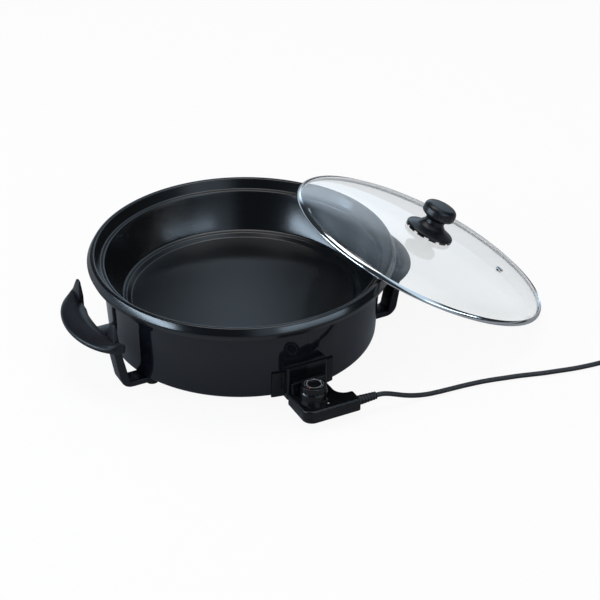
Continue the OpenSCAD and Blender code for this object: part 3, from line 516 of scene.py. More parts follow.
def sheet_outline(path: Sequence[Point], thickness: float) -> list[Point]:
    """The outline of a sheet that lies to the right of an open path.

    Args:
        path: The points of the sheet's left face.
        thickness: The sheet's thickness.

    Returns:
        The path, and the points beside it on the way back.
    """
    beside: list[Point] = []
    for i, here in enumerate(path):
        sides = []
        for a, b in ((i - 1, i), (i, i + 1)):
            if a >= 0 and b < len(path):
                along = (Vector(path[b]) - Vector(path[a])).normalized()
                sides.append(Vector((along.y, -along.x)))
        first, last = sides[0], sides[-1]
        shift = (first + last) / (1 + first.dot(last)) * thickness
        beside.append((here[0] + shift.x, here[1] + shift.y))
    return [*path, *reversed(beside)]


def quarter_round(steps: int) -> list[Point]:
    """How far a quarter round of radius one has left one face and is short of the other, at even steps."""
    return [(1 - math.cos(QUARTER * i / steps), 1 - math.sin(QUARTER * i / steps)) for i in range(steps + 1)]


def moved(x: float, y: float, z: float = 0.0) -> Matrix:
    """A move along the axes."""
    return Matrix.Translation((x, y, z))


def turned(angle: float, axis: str = "Z") -> Matrix:
    """A turn about an axis."""
    return Matrix.Rotation(angle, 4, axis)


# Modelling steps


class Bench:
    """Modelling steps, done with Blender's own operators as by hand."""

    @staticmethod
    def clear() -> None:
        """Leaves edit mode and deselects everything."""
        if bpy.context.object is not None and bpy.context.object.mode != "OBJECT":
            bpy.ops.object.mode_set(mode="OBJECT")
        bpy.ops.object.select_all(action="DESELECT")

    @classmethod
    def only(cls, piece: Piece) -> None:
        """Selects one piece and makes it active.

        Args:
            piece: The piece.
        """
        cls.clear()
        piece.select_set(True)
        bpy.context.view_layer.objects.active = piece

    @classmethod
    def edit(cls, piece: Piece) -> None:
        """Opens a piece in edit mode with all of it selected.

        Args:
            piece: The piece.
        """
        cls.only(piece)
        bpy.ops.object.mode_set(mode="EDIT")
        bpy.ops.mesh.select_all(action="SELECT")

    @staticmethod
    def done() -> None:
        """Goes back to object mode."""
        bpy.ops.object.mode_set(mode="OBJECT")

    @staticmethod
    def named(name: str) -> Piece:
        """Gives the active piece its name, and hands it on."""
        bpy.context.object.name = name
        return bpy.context.object

    @staticmethod
    def settle() -> None:
        """Writes the selected piece's place into its mesh."""
        bpy.ops.object.transform_apply(location=True, rotation=True, scale=True)

    @staticmethod
    def outwards() -> None:
        """Turns the selected faces outwards."""
        bpy.ops.mesh.normals_make_consistent(inside=False)

    @classmethod
    def weld(cls, piece: Piece) -> None:
        """Merges a piece's doubles and turns all its faces outwards.

        Args:
            piece: The piece.
        """
        cls.edit(piece)
        bpy.ops.mesh.remove_doubles(threshold=WELD)
        cls.outwards()
        cls.done()

    @classmethod
    def revolve(cls, name: str, outline: Sequence[Point], closed: bool, steps: int) -> Piece:
        """Draws an outline vertex by vertex and spins it about the upright axis.

        Args:
            name: The piece's name.
            outline: Radius and height of each point.
            closed: Whether the outline closes on itself, clear of the axis.
            steps: Number of faces round the axis.

        Returns:
            The new piece.
        """
        cls.clear()
        start = outline[0]
        bpy.ops.mesh.primitive_plane_add(size=0.001, location=(start[0], 0.0, start[1]))
        piece = cls.named(name)
        cls.settle()
        cls.edit(piece)
        bpy.ops.mesh.merge(type="CENTER")
        tail = [*outline[1:], start] if closed else outline[1:]
        for before, after in zip(outline, tail):
            step = (after[0] - before[0], 0.0, after[1] - before[1])
            bpy.ops.mesh.extrude_vertices_move(TRANSFORM_OT_translate={"value": step})
        bpy.ops.mesh.select_all(action="SELECT")
        bpy.ops.mesh.spin(steps=steps, angle=math.tau, center=(0.0, 0.0, 0.0), axis=(0.0, 0.0, 1.0))
        cls.weld(piece)
        return piece

    @classmethod
    def loft(cls, name: str, rings: Sequence[Ring]) -> Piece:
        """Lays a grid over closed sections, welds its seam and closes both ends.

        Args:
            name: The piece's name.
            rings: Sections with the same number of points.

        Returns:
            The new piece.
        """
        cls.clear()
        bpy.ops.mesh.primitive_grid_add(x_subdivisions=len(rings[0]), y_subdivisions=len(rings) - 1, size=1.0)
        piece = cls.named(name)
        rows = [value for ring in rings for point in (*ring, ring[0]) for value in point]
        piece.data.vertices.foreach_set("co", rows)
        cls.weld(piece)
        cls.edit(piece)
        bpy.ops.mesh.fill_holes(sides=0)
        bpy.ops.mesh.select_all(action="SELECT")
        cls.outwards()
        cls.done()
        return piece

    @classmethod
    def prism(cls, name: str, outline: Sequence[Point], low: float, high: float) -> Piece:
        """Fills an outline in the ground plane and extrudes it up.

        Args:
            name: The piece's name.
            outline: The points of the outline.
            low: Height of the lower end.
            high: Height of the upper end.

        Returns:
            The new piece.
        """
        cls.clear()
        bpy.ops.mesh.primitive_circle_add(vertices=len(outline), radius=1.0, fill_type="NGON")
        piece = cls.named(name)
        piece.data.vertices.foreach_set("co", [value for x, y in outline for value in (x, y, low)])
        cls.edit(piece)
        bpy.ops.mesh.extrude_region_move(TRANSFORM_OT_translate={"value": (0.0, 0.0, high - low)})
        cls.weld(piece)
        return piece

    @classmethod
    def block(cls, name: str, low: Corner, high: Corner) -> Piece:
        """A box as a cutter.

        Args:
            name: The cutter's name.
            low: Its lowest corner.
            high: Its highest corner.

        Returns:
            The cutter.
        """
        cls.clear()
        middle = [(a + b) / 2 for a, b in zip(low, high)]
        size = [b - a for a, b in zip(low, high)]
        bpy.ops.mesh.primitive_cube_add(size=1.0, location=middle, scale=size)
        piece = cls.named(name)
        cls.settle()
        return piece

    @classmethod
    def rod(cls, name: str, radius: float, length: float, sides: int, middle: Corner = (0.0, 0.0, 0.0)) -> Piece:
        """An upright round bar as a cutter.

        Args:
            name: The cutter's name.
            radius: Its radius.
            length: Its length.
            sides: Number of faces round it.
            middle: Where its middle stands.

        Returns:
            The cutter.
        """
        cls.clear()
        bpy.ops.mesh.primitive_cylinder_add(vertices=sides, radius=radius, depth=length, location=middle)
        return cls.named(name)

    @classmethod
    def modify(cls, piece: Piece, kind: str, **settings: object) -> None:
        """Adds one modifier and applies it.

        Args:
            piece: The piece.
            kind: The modifier's type.
            settings: The modifier's attributes.
        """
        cls.only(piece)
        step = piece.modifiers.new(kind.lower(), kind)
        for key, value in settings.items():
            setattr(step, key, value)
        bpy.ops.object.modifier_apply(modifier=step.name)

    @classmethod
    def combine(cls, piece: Piece, tool: Piece, operation: str) -> None:
        """Cuts, joins or intersects a piece with a tool, and removes the tool."""
        cls.modify(piece, "BOOLEAN", object=tool, operation=operation, solver="EXACT")
        bpy.data.objects.remove(tool)

    @classmethod
    def bevel(cls, piece: Piece, width: float, angle: float = 32.0) -> None:
        """Rounds every edge of a piece that is sharper than an angle in degrees."""
        cls.modify(piece, "BEVEL", width=width, segments=3, limit_method="ANGLE",
                   angle_limit=math.radians(angle), miter_outer="MITER_ARC", use_clamp_overlap=True)

    @classmethod
    def place(cls, piece: Piece, matrix: Matrix) -> None:
        """Moves a piece and writes its place into its mesh.

        Args:
            piece: The piece, at the origin.
            matrix: Where it goes.
        """
        cls.only(piece)
        piece.matrix_world = matrix
        cls.settle()

    @staticmethod
    def twin(piece: Piece, name: str) -> Piece:
        """A copy of a piece with its own mesh.

        Args:
            piece: The piece.
            name: The copy's name.

        Returns:
            The copy.
        """
        twin = piece.copy()
        twin.data = piece.data.copy()
        twin.name = name
        bpy.context.scene.collection.objects.link(twin)
        return twin

    @classmethod
    def join(cls, pieces: Sequence[Piece], name: str) -> Piece:
        """Joins pieces into one.

        Args:
            pieces: The pieces. The first takes up the others.
            name: The new name of the first.

        Returns:
            The joined piece.
        """
        cls.clear()
        for piece in pieces:
            piece.select_set(True)
        bpy.context.view_layer.objects.active = pieces[0]
        bpy.ops.object.join()
        return cls.named(name)

    @classmethod
    def mirror_x(cls, piece: Piece) -> None:
        """Mirrors a piece in the plane between the handles, faces kept outwards."""
        cls.place(piece, Matrix.Diagonal((-1.0, 1.0, 1.0, 1.0)))
        cls.weld(piece)

    @classmethod
    def from_node(cls, node: str, name: str, edge: float) -> Piece:
        """A merged copy of a CAD node with its flat faces made whole and its edges rounded.

        Args:
            node: The CAD node's name.
            name: The new piece's name.
            edge: Radius of the rounded edges.

        Returns:
            The new piece.
        """
        piece = cls.twin(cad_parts[node], name)
        piece.parent = None
        for key in list(piece.keys()):
            del piece[key]
        piece.data.materials.clear()
        cls.weld(piece)
        cls.edit(piece)
        bpy.ops.mesh.dissolve_limited(angle_limit=math.radians(1.0))
        cls.done()
        cls.bevel(piece, edge)
        return piece


def dress(piece: Piece, finish: Surface, body: Body, *nodes: str, crease: float = 35.0) -> Piece:
    """Gives a finished piece its shading, finish and body, hides the nodes that it stands for, and logs them.

    Args:
        piece: The piece, in place.
        finish: Its finish.
        body: The body that it moves with.
        nodes: The CAD nodes that it replaces.
        crease: Edges sharper than this many degrees stay sharp.

    Returns:
        The same piece.
    """
    if piece.type == "MESH":
        Bench.only(piece)
        bpy.ops.object.shade_smooth_by_angle(angle=math.radians(crease))
    piece.data.materials.clear()
    piece.data.materials.append(finish.material())
    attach(piece, body.value)
    if nodes:
        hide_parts(*nodes)
    LOG.info("%s on %s for %s", piece.name, body.value, ", ".join(nodes) or "itself")
    return piece


# Studio


def stand(name: str, data: bpy.types.ID, place: Corner, aim: Corner, roll: float = 0.0) -> Piece:
    """Stands a camera or a lamp at a place and turns it to its aim.

    Args:
        name: The new object's name.
        data: The camera or lamp.
        place: Where it stands.
        aim: The point that it looks at.
        roll: Its turn about the line to that point, in degrees.

    Returns:
        The new object.
    """
    holder = bpy.data.objects.new(name, data)
    bpy.context.scene.collection.objects.link(holder)
    holder.location = place
    turn = (Vector(aim) - Vector(place)).to_track_quat("-Z", "Y")
    holder.rotation_euler = (turn @ Quaternion((0.0, 0.0, 1.0), math.radians(roll))).to_euler()
    return holder


@dataclass
class Softbox:
    """A soft area lamp aimed at the pan."""

    name: str
    place: Corner
    aim: Corner
    size: Point
    power: float
    tint: Colour = WHITE
    roll: float = 0.0

    def build(self) -> None:
        """Adds the lamp."""
        lamp = bpy.data.lights.new(self.name, "AREA")
        lamp.shape = "RECTANGLE"
        lamp.size, lamp.size_y = self.size
        lamp.energy = self.power
        lamp.color = self.tint
        stand(self.name, lamp, self.place, self.aim, self.roll)


@dataclass
class Studio:
    """Camera, white table, soft lamps, and a surround that is white to the eye and graded in reflections.

    Attributes:
        paper: The two whites of the table.
        sheen: What reflections show of the table, near and far off at the left.
        sheen_fall: How the table's sheen grows to the left and to the back.
        seen_glow: How much of the table's white the eye sees without shadow.
        mirrored_glow: The same for reflections.
        heading: The camera's heading over the table.
        corner: The heading of the far left corner.
        dark: What reflections show of the surround at its darkest.
        panel: Brightness of the panel behind the pan in reflections.
        wing: Brightness of the panel at the right.
        skyline: Brightness of the strip over the far left of the table.
        fill: Brightness of the surround as light.
    """

    eye: Corner = (-0.9498, -2.0366, 1.4448)
    aim: Corner = (0.0547, -0.0677, 0.0756)
    lens: float = 114.86
    sensor: float = 36.0
    clip_end: float = 50.0
    table_size: float = 12.0
    table_drop: float = 0.0003
    table_cloud: float = 0.4
    paper: tuple[Colour, Colour] = ((0.78, 0.78, 0.79), (0.82, 0.82, 0.82))
    sheen: tuple[Colour, Colour] = ((0.13, 0.15, 0.18), (0.55, 0.6, 0.66))
    sheen_fall: Point = (0.16, 0.19)
    seen_glow: float = 0.92
    mirrored_glow: float = 0.7
    heading: Point = (0.42, 0.9)
    corner: Point = (0.65, 0.75)
    dark: float = 0.03
    panel: float = 1.9
    wing: float = 0.85
    skyline: float = 0.75
    fill: float = 0.45
    lamps: tuple[Softbox, ...] = (
        Softbox("left_softbox", place=(-2.3, 0.3, 0.86), aim=(-0.15, 0.0, 0.12), size=(2.2, 0.36), power=38.0,
                tint=COOL),
        Softbox("front_softbox", place=(0.93, -1.94, 0.92), aim=(0.0, 0.0, 0.12), size=(2.0, 0.26), power=7.6,
                tint=COOL, roll=-11.0),
        Softbox("back_softbox", place=(0.86, 1.89, 1.39), aim=(0.0, 0.0, 0.065), size=(0.16, 0.16), power=0.16,
                tint=COOL),
        Softbox("top_softbox", place=(0.1, 0.3, 2.2), aim=(0.0, 0.0, 0.1), size=(1.6, 1.2), power=18.0),
    )

    def build(self) -> None:
        """Builds the whole studio."""
        self.camera()
        self.table()
        self.surround()
        for lamp in self.lamps:
            lamp.build()

    def camera(self) -> None:
        """Stands the camera where the photograph was taken from."""
        data = bpy.data.cameras.new("camera")
        data.sensor_width = self.sensor
        data.lens = self.lens
        data.clip_end = self.clip_end
        bpy.context.scene.camera = stand("camera", data, self.eye, self.aim)

    @staticmethod
    def rays(sheet: ShaderSheet) -> tuple[Wire, Wire, Wire, Wire]:
        """Makes the switches for the kinds of ray.

        Args:
            sheet: The sheet that they go on.

        Returns:
            Switches for what the eye sees straight, for what it sees through glass, for both, and for reflections.
        """
        kinds = ("Camera", "Transmission", "Glossy")
        straight, through, mirrored = (sheet.add("ShaderNodeLightPath", output=f"Is {kind} Ray") for kind in kinds)
        eye = straight.most(through)
        return straight, through, eye, mirrored * (1 - eye)

    def table(self) -> None:
        """Lays a white table that keeps a soft shadow of the object."""
        Bench.clear()
        bpy.ops.mesh.primitive_plane_add(size=self.table_size, location=(0.0, 0.0, -self.table_drop))
        table = Bench.named("table")
        Bench.settle()
        sheet, material = ShaderSheet.for_material("white_table")
        paper = sheet.blend(sheet.noise(sheet.place(), self.table_cloud, detail=2.0), *self.paper)
        matt = sheet.add("ShaderNodeBsdfDiffuse", None, {"Color": paper})
        _, _, eye, gloss = self.rays(sheet)
        across, along = (sheet.part(sheet.place(), axis) for axis in "XY")
        away = sheet.ramp(self.sheen_fall[1] * along - self.sheen_fall[0] * across, (0.2, 0.0), (0.45, 1.0))
        shine = sheet.blend(gloss, WHITE, sheet.blend(away, *self.sheen))
        glow = sheet.add("ShaderNodeEmission", None, {"Color": shine, "Strength": 1.0})
        share = self.seen_glow * eye + self.mirrored_glow * gloss
        sheet.close(sheet.add("ShaderNodeMixShader", None, {0: share, 1: matt, 2: glow}))
        table.data.materials.append(material)

    def graded(self, sheet: ShaderSheet, right: Wire, back: Wire, up: Wire) -> Wire:
        """What reflections show of the surround: panels behind the pan and at its right, and a strip at the far left.

        Args:
            sheet: The world's sheet.
            right: The direction's part along X.
            back: The direction's part along Y.
            up: The direction's part along Z.

        Returns:
            The brightness in each direction.
        """
        x, y = self.heading
        behind = sheet.ramp((x * right + y * back) * 0.5 + 0.5, (0.93, 0.0), (0.98, 1.0))
        panel = sheet.ramp(up, (0.05, 0.4), (0.2, 1.0)) * sheet.ramp(up, (0.35, 1.0), (0.5, 0.0))
        side = (y * right - x * back) * 0.5 + 0.5
        aside = sheet.ramp(side, (0.52, 0.0), (0.6, 1.0)) * sheet.ramp(side, (0.78, 1.0), (0.85, 0.0))
        wing = aside * sheet.ramp(up, (0.05, 0.4), (0.45, 1.0))
        far = sheet.ramp(self.corner[1] * back - self.corner[0] * right, (0.3, 0.0), (0.6, 1.0))
        skyline = sheet.ramp(up, (0.06, 0.8), (0.2, 0.0)) * far
        return self.dark + (self.panel * behind * panel).most(self.wing * wing).most(self.skyline * skyline)

    def surround(self) -> None:
        """Makes the surround: white to the eye, dark overhead through glass, graded in reflections, plain as light."""
        world = bpy.data.worlds.new("surround")
        bpy.context.scene.world = world
        world.use_nodes = True
        sheet = ShaderSheet(world.node_tree)
        direction = sheet.add("ShaderNodeTexCoord", output="Generated")
        right, back, up = (sheet.part(direction, axis) for axis in "XYZ")
        straight, through, eye, gloss = self.rays(sheet)
        low = sheet.ramp(up, (0.1, 1.0), (0.35, 0.03))
        mirrored = gloss * self.graded(sheet, right, back, up)
        level = straight + through * low + mirrored + self.fill * (1 - eye.most(gloss))
        colour = sheet.blend(gloss, WHITE, COOL)
        sheet.close(sheet.add("ShaderNodeBackground", None, {"Color": colour, "Strength": level}),
                    "ShaderNodeOutputWorld")
        bpy.context.scene.view_settings.view_transform = "Standard"


# Lead


@dataclass
class Lead:
    """The mains lead: strain relief, cord with its tied coil, and plug."""

    width: float = 0.007
    slack: float = 0.0002
    lying_height: float = 0.0037
    cord_rounding: int = 5
    cord_steps: int = 6
    relief_end: Corner = (0.075, -0.246, 0.022)
    relief_length: float = 0.026
    relief_wide: float = 0.013
    relief_wall: float = 0.0015
    relief_ribs: int = 5
    relief_groove: float = 0.0012
    relief_soft: float = 0.0003
    coil_centre: Point = (0.510, -0.2385)
    coil_outer: float = 0.046
    coil_inner: float = 0.031
    coil_low: float = 0.0051
    coil_rise: float = 0.0076
    coil_turns: float = 1.875
    coil_dip: float = 0.0015
    coil_points: int = 102
    tie_edge: float = 0.0004
    plug_end: Corner = (0.556, -0.186, 0.0195)
    plug_relief: float = 0.020
    plug_length: float = 0.036
    plug_wide: float = 0.037
    plug_grip: float = 0.0115
    flat_cut: float = 0.0015
    flat_half: float = 0.006
    flat_over: float = 0.002

    def run(self) -> list[Corner]:
        """The stretch from the strain relief down to the table and along it to the coil.

        Returns:
            The points of its middle line.
        """
        drop = [
            (0.083, -0.2463, 0.0217), (0.092, -0.2473, 0.020), (0.103, -0.249, 0.0165), (0.116, -0.2508, 0.012),
            (0.131, -0.2523, 0.008), (0.147, -0.2533, 0.0052), (0.163, -0.254, 0.004),
        ]
        flat = [
            (0.181, -0.255), (0.203, -0.2565), (0.226, -0.259), (0.244, -0.262), (0.262, -0.266), (0.280, -0.270),
            (0.298, -0.275), (0.316, -0.280), (0.334, -0.284), (0.352, -0.288), (0.370, -0.291), (0.388, -0.293),
            (0.406, -0.294), (0.424, -0.294), (0.442, -0.293),
        ]
        rise = [(0.460, -0.291, 0.004), (0.477, -0.288, 0.0045), (0.491, -0.2855, 0.005), (0.503, -0.2845, 0.0051)]
        return [self.relief_end, *drop, *((x, y, self.lying_height) for x, y in flat), *rise]

    def coil(self) -> list[Corner]:
        """The coil: in along the table, up in the half turn where it reverses, and out on top.

        Returns:
            The points of its middle line.
        """
        span = math.tau * self.coil_turns
        step = (self.coil_outer - self.coil_inner) / span
        x, y = self.coil_centre
        points = []
        for i in range(self.coil_points + 1):
            turn = (2 * span + math.pi) * i / self.coil_points
            climb = min(1.0, max(0.0, (turn - span) / math.pi))
            if turn < span:
                radius = self.coil_outer - step * turn
            elif turn < span + math.pi:
                radius = self.coil_inner - self.coil_dip * math.sin(math.pi * climb)
            else:
                radius = self.coil_inner + step * (turn - span - math.pi)
            height = self.coil_low + self.coil_rise * (1 - math.cos(math.pi * climb)) / 2
            points.append((x + radius * math.sin(turn), y - radius * math.cos(turn), height))
        return points

    def tail(self) -> list[Corner]:
        """The stretch from the coil up to the plug."""
        climb = [(-0.2315, 0.0127), (-0.222, 0.0127), (-0.212, 0.016), (-0.202, 0.0185), (-0.194, 0.0195)]
        return [*((self.plug_end[0], y, z) for y, z in climb), self.plug_end]

    def build(self) -> None:
        route = [*self.run(), *self.coil(), *self.tail()]
        cord = self.cord(route)
        relief = self.relief()
        plug = self.plug()
        tie = Bench.from_node("cord_tie", "coil_tie", self.tie_edge)
        dress(tie, FINISHES.gloss, Body.CONTROL, "cord_tie")

    def cord(self, route: Sequence[Corner]) -> Piece:
        """One smooth round cord.

        Args:
            route: The points that it follows.

        Returns:
            The cord, dressed.
        """
        curve = bpy.data.curves.new("mains_cord", "CURVE")
        curve.dimensions = "3D"
        curve.bevel_depth = self.width / 2 - self.slack
        curve.bevel_resolution = self.cord_rounding
        curve.resolution_u = self.cord_steps
        curve.use_fill_caps = True
        spline = curve.splines.new("BEZIER")
        spline.bezier_points.add(len(route) - 1)
        for knot, place in zip(spline.bezier_points, route):
            knot.co = place
            knot.handle_left_type = knot.handle_right_type = "AUTO"
        cord = bpy.data.objects.new("mains_cord", curve)
        bpy.context.scene.collection.objects.link(cord)
        return dress(cord, FINISHES.sheath, Body.CONTROL, "cord", "cord_coil", "plug_lead")

    def relief(self) -> Piece:
        """The tapered strain relief with a groove between its ribs.

        Returns:
            The strain relief, dressed.
        """
        pitch = self.relief_length / (self.relief_ribs + 1)
        wide = self.relief_wide / 2
        thin = self.width / 2 + self.relief_wall
        soft, deep = self.relief_soft, self.relief_groove
        # Depth of the groove at shares of the pitch
        groove = ((0.40, 0.0), (0.47, soft), (0.52, deep), (0.78, deep), (0.83, soft), (0.90, 0.0))
        outline: list[Point] = [(0.0, 0.0), (wide, 0.0)]
        for i in range(self.relief_ribs + 1):
            start = pitch * i
            full = wide + (thin - wide) * start / self.relief_length
            outline += [(full - depth, start + pitch * share) for share, depth in groove]
        outline += [(thin, self.relief_length - soft), (thin - 0.0004, self.relief_length), (0.0, self.relief_length)]
        piece = Bench.revolve("strain_relief_boot", outline, False, 64)
        x, y, z = self.relief_end
        Bench.place(piece, moved(x - self.relief_length, y, z) @ turned(QUARTER, "Y"))
        return dress(piece, FINISHES.sheath, Body.CONTROL, "strain_relief")

    def plug(self) -> Piece:
        """The round two-pin plug with its relief, waist and flat sides.

        Returns:
            The plug, dressed.
        """
        base, long, grip = self.plug_relief, self.plug_length, self.plug_grip
        wide = self.plug_wide / 2
        piece = Bench.revolve("mains_plug", rounded([
            (0.0, 0.0, 0.0),
            (self.width / 2 + 0.0012, 0.0, 0.0006),
            (self.width / 2 + 0.0022, base, 0.001),
            (grip, base, 0.003),
            (grip + 0.001, base + long * 0.5, 0.006),
            (wide, base + long * 0.66, 0.003),
            (wide, base + long, 0.0015),
            (0.0, base + long, 0.0),
        ], False), False, 96)
        for side in (-1, 1):
            low, high = sorted((side * (wide - self.flat_cut), side * (wide + self.flat_over)))
            flat = Bench.block("plug_flat", (low, -self.flat_half, base + long * 0.7),
                               (high, self.flat_half, base + long * 2))
            Bench.combine(piece, flat, "DIFFERENCE")
        Bench.place(piece, moved(*self.plug_end) @ turned(-QUARTER, "X"))
        return dress(piece, FINISHES.sheath, Body.CONTROL, "plug_body")


# Pan, skirt and base


@dataclass
class PanBody:
    """The non-stick pan, the enamelled skirt round it and the plate under it."""

    rim: float = 0.210
    rim_top: float = 0.137
    rim_edge: float = 0.2047
    rim_wide_height: float = 0.1275
    rim_foot: float = 0.2068
    rim_foot_height: float = 0.1202
    rim_width: float = 0.0105
    rim_round: float = 0.0035
    rim_inset: float = 0.0001
    seat_outer: float = 0.192
    seat_inner: float = 0.186
    seat_height: float = 0.124
    floor: float = 0.152
    floor_height: float = 0.066
    step_run: float = 0.006
    step_rise: float = 0.005
    ledge: float = 0.006
    heel_round: float = 0.005
    sheet: float = 0.0025
    inner_bend: float = 0.0005
    wall_bow: float = 0.0016
    wall_steps: int = 7
    skirt_top: float = 0.12135
    skirt_foot: float = 0.016
    skirt_wide: float = 0.1905
    skirt_narrow: float = 0.184
    skirt_round: float = 0.005
    skirt_sheet: float = 0.0015
    flange: float = 0.156
    window_low: Corner = (-0.0225, -0.195, 0.023)
    window_high: Corner = (0.0225, -0.164, 0.044)
    plate_height: float = 0.0187
    plate_sheet: float = 0.0012
    plate_press: float = 0.006
    plate_bend: float = 0.003
    plate_hole: float = 0.0032
    plate_ring: float = 0.046
    plate_lap: float = 0.007
    plate_border: float = 0.022
    vents: int = 8
    vent_half: Point = (0.020, 0.003)
    vent_round: float = 0.0029
    vent_over: float = 0.002

    def build(self) -> None:
        """Builds the pan, the skirt and the base plate."""
        self.pan()
        self.skirt()
        self.plate()

    def pan(self) -> None:
        """Spins the pan's sheet: floor, step, heel, wall, lid's seat, sloping face and chamfered rim."""
        bend = self.sheet + self.inner_bend
        shelf = self.floor_height + self.step_rise
        path = rounded([
            (0.0, self.floor_height, 0.0),
            (self.floor, self.floor_height, bend),
            (self.floor + self.step_run, shelf, bend),
            (self.floor + self.step_run + self.ledge, shelf, self.heel_round),
            *self.wall(shelf),
            (self.seat_inner, self.seat_height, bend),
            (self.seat_outer, self.seat_height, bend),
            (self.rim - self.rim_width, self.rim_top, bend),
            (self.rim_edge, self.rim_top, bend),
            (self.rim - self.rim_inset, self.rim_wide_height, self.rim_round),
            (self.rim_foot, self.rim_foot_height, 0.0),
        ], False, 8)
        piece = Bench.revolve("pan_shell", sheet_outline(path, self.sheet), False, 224)
        dress(piece, FINISHES.nonstick, Body.COOKER, "pan", crease=50.0)

    def wall(self, foot: float) -> list[Corner]:
        """The wall between heel and lid's seat, bowed slightly outwards.

        Args:
            foot: Height of the wall's foot.

        Returns:
            Corners from the foot up, each with its radius.
        """
        inner = self.floor + self.step_run + self.ledge
        chord = Vector((self.seat_inner - inner, self.seat_height - foot))
        out = Vector((chord.y, -chord.x)).normalized()
        corners: list[Corner] = []
        for step in range(1, self.wall_steps):
            along = step / self.wall_steps
            place = Vector((inner, foot)) + along * chord + 4.0 * along * (1.0 - along) * self.wall_bow * out
            corners.append((place.x, place.y, 0.0))
        return corners

    def skirt(self) -> None:
        """Spins the skirt with its turned-in foot and cuts the window for the control."""
        path = rounded([
            (self.skirt_wide, self.skirt_top, 0.0),
            (self.skirt_narrow, self.skirt_foot, self.skirt_round),
            (self.flange, self.skirt_foot, 0.0),
        ], False, 10)
        piece = Bench.revolve("skirt_shell", sheet_outline(path, self.skirt_sheet), True, 224)
        Bench.combine(piece, Bench.block("window_cut", self.window_low, self.window_high), "DIFFERENCE")
        dress(piece, FINISHES.enamel, Body.COOKER, "outer_skirt")

    def plate(self) -> None:
        """Spins the base plate with its pressed ring and cuts its vent slots."""
        outer = self.flange + self.plate_lap
        ring = outer - self.plate_border
        top, bend = self.plate_height, self.plate_bend
        path = rounded([
            (self.plate_hole, top, 0.0),
            (self.plate_ring - self.plate_press, top, bend),
            (self.plate_ring, top + self.plate_press, bend),
            (ring, top + self.plate_press, bend),
            (ring + self.plate_press, top, bend),
            (outer, top, 0.0),
        ], False)
        piece = Bench.revolve("base_cover", sheet_outline(path, self.plate_sheet), True, 160)
        long, wide = self.vent_half
        ends = ((-long, -wide), (long, -wide), (long, wide), (-long, wide))
        slot = rounded([(x, y, self.vent_round) for x, y in ends], True, 5)
        middle = (self.plate_ring + ring) / 2
        for i in range(self.vents):
            cut = Bench.prism("vent_cut", slot, top - self.vent_over, top + self.plate_press + self.vent_over)
            Bench.place(cut, turned(math.tau * (i + 0.5) / self.vents) @ moved(middle, 0.0))
            Bench.combine(piece, cut, "DIFFERENCE")
        dress(piece, FINISHES.zinc, Body.COOKER, "base_plate")


# Handles and feet


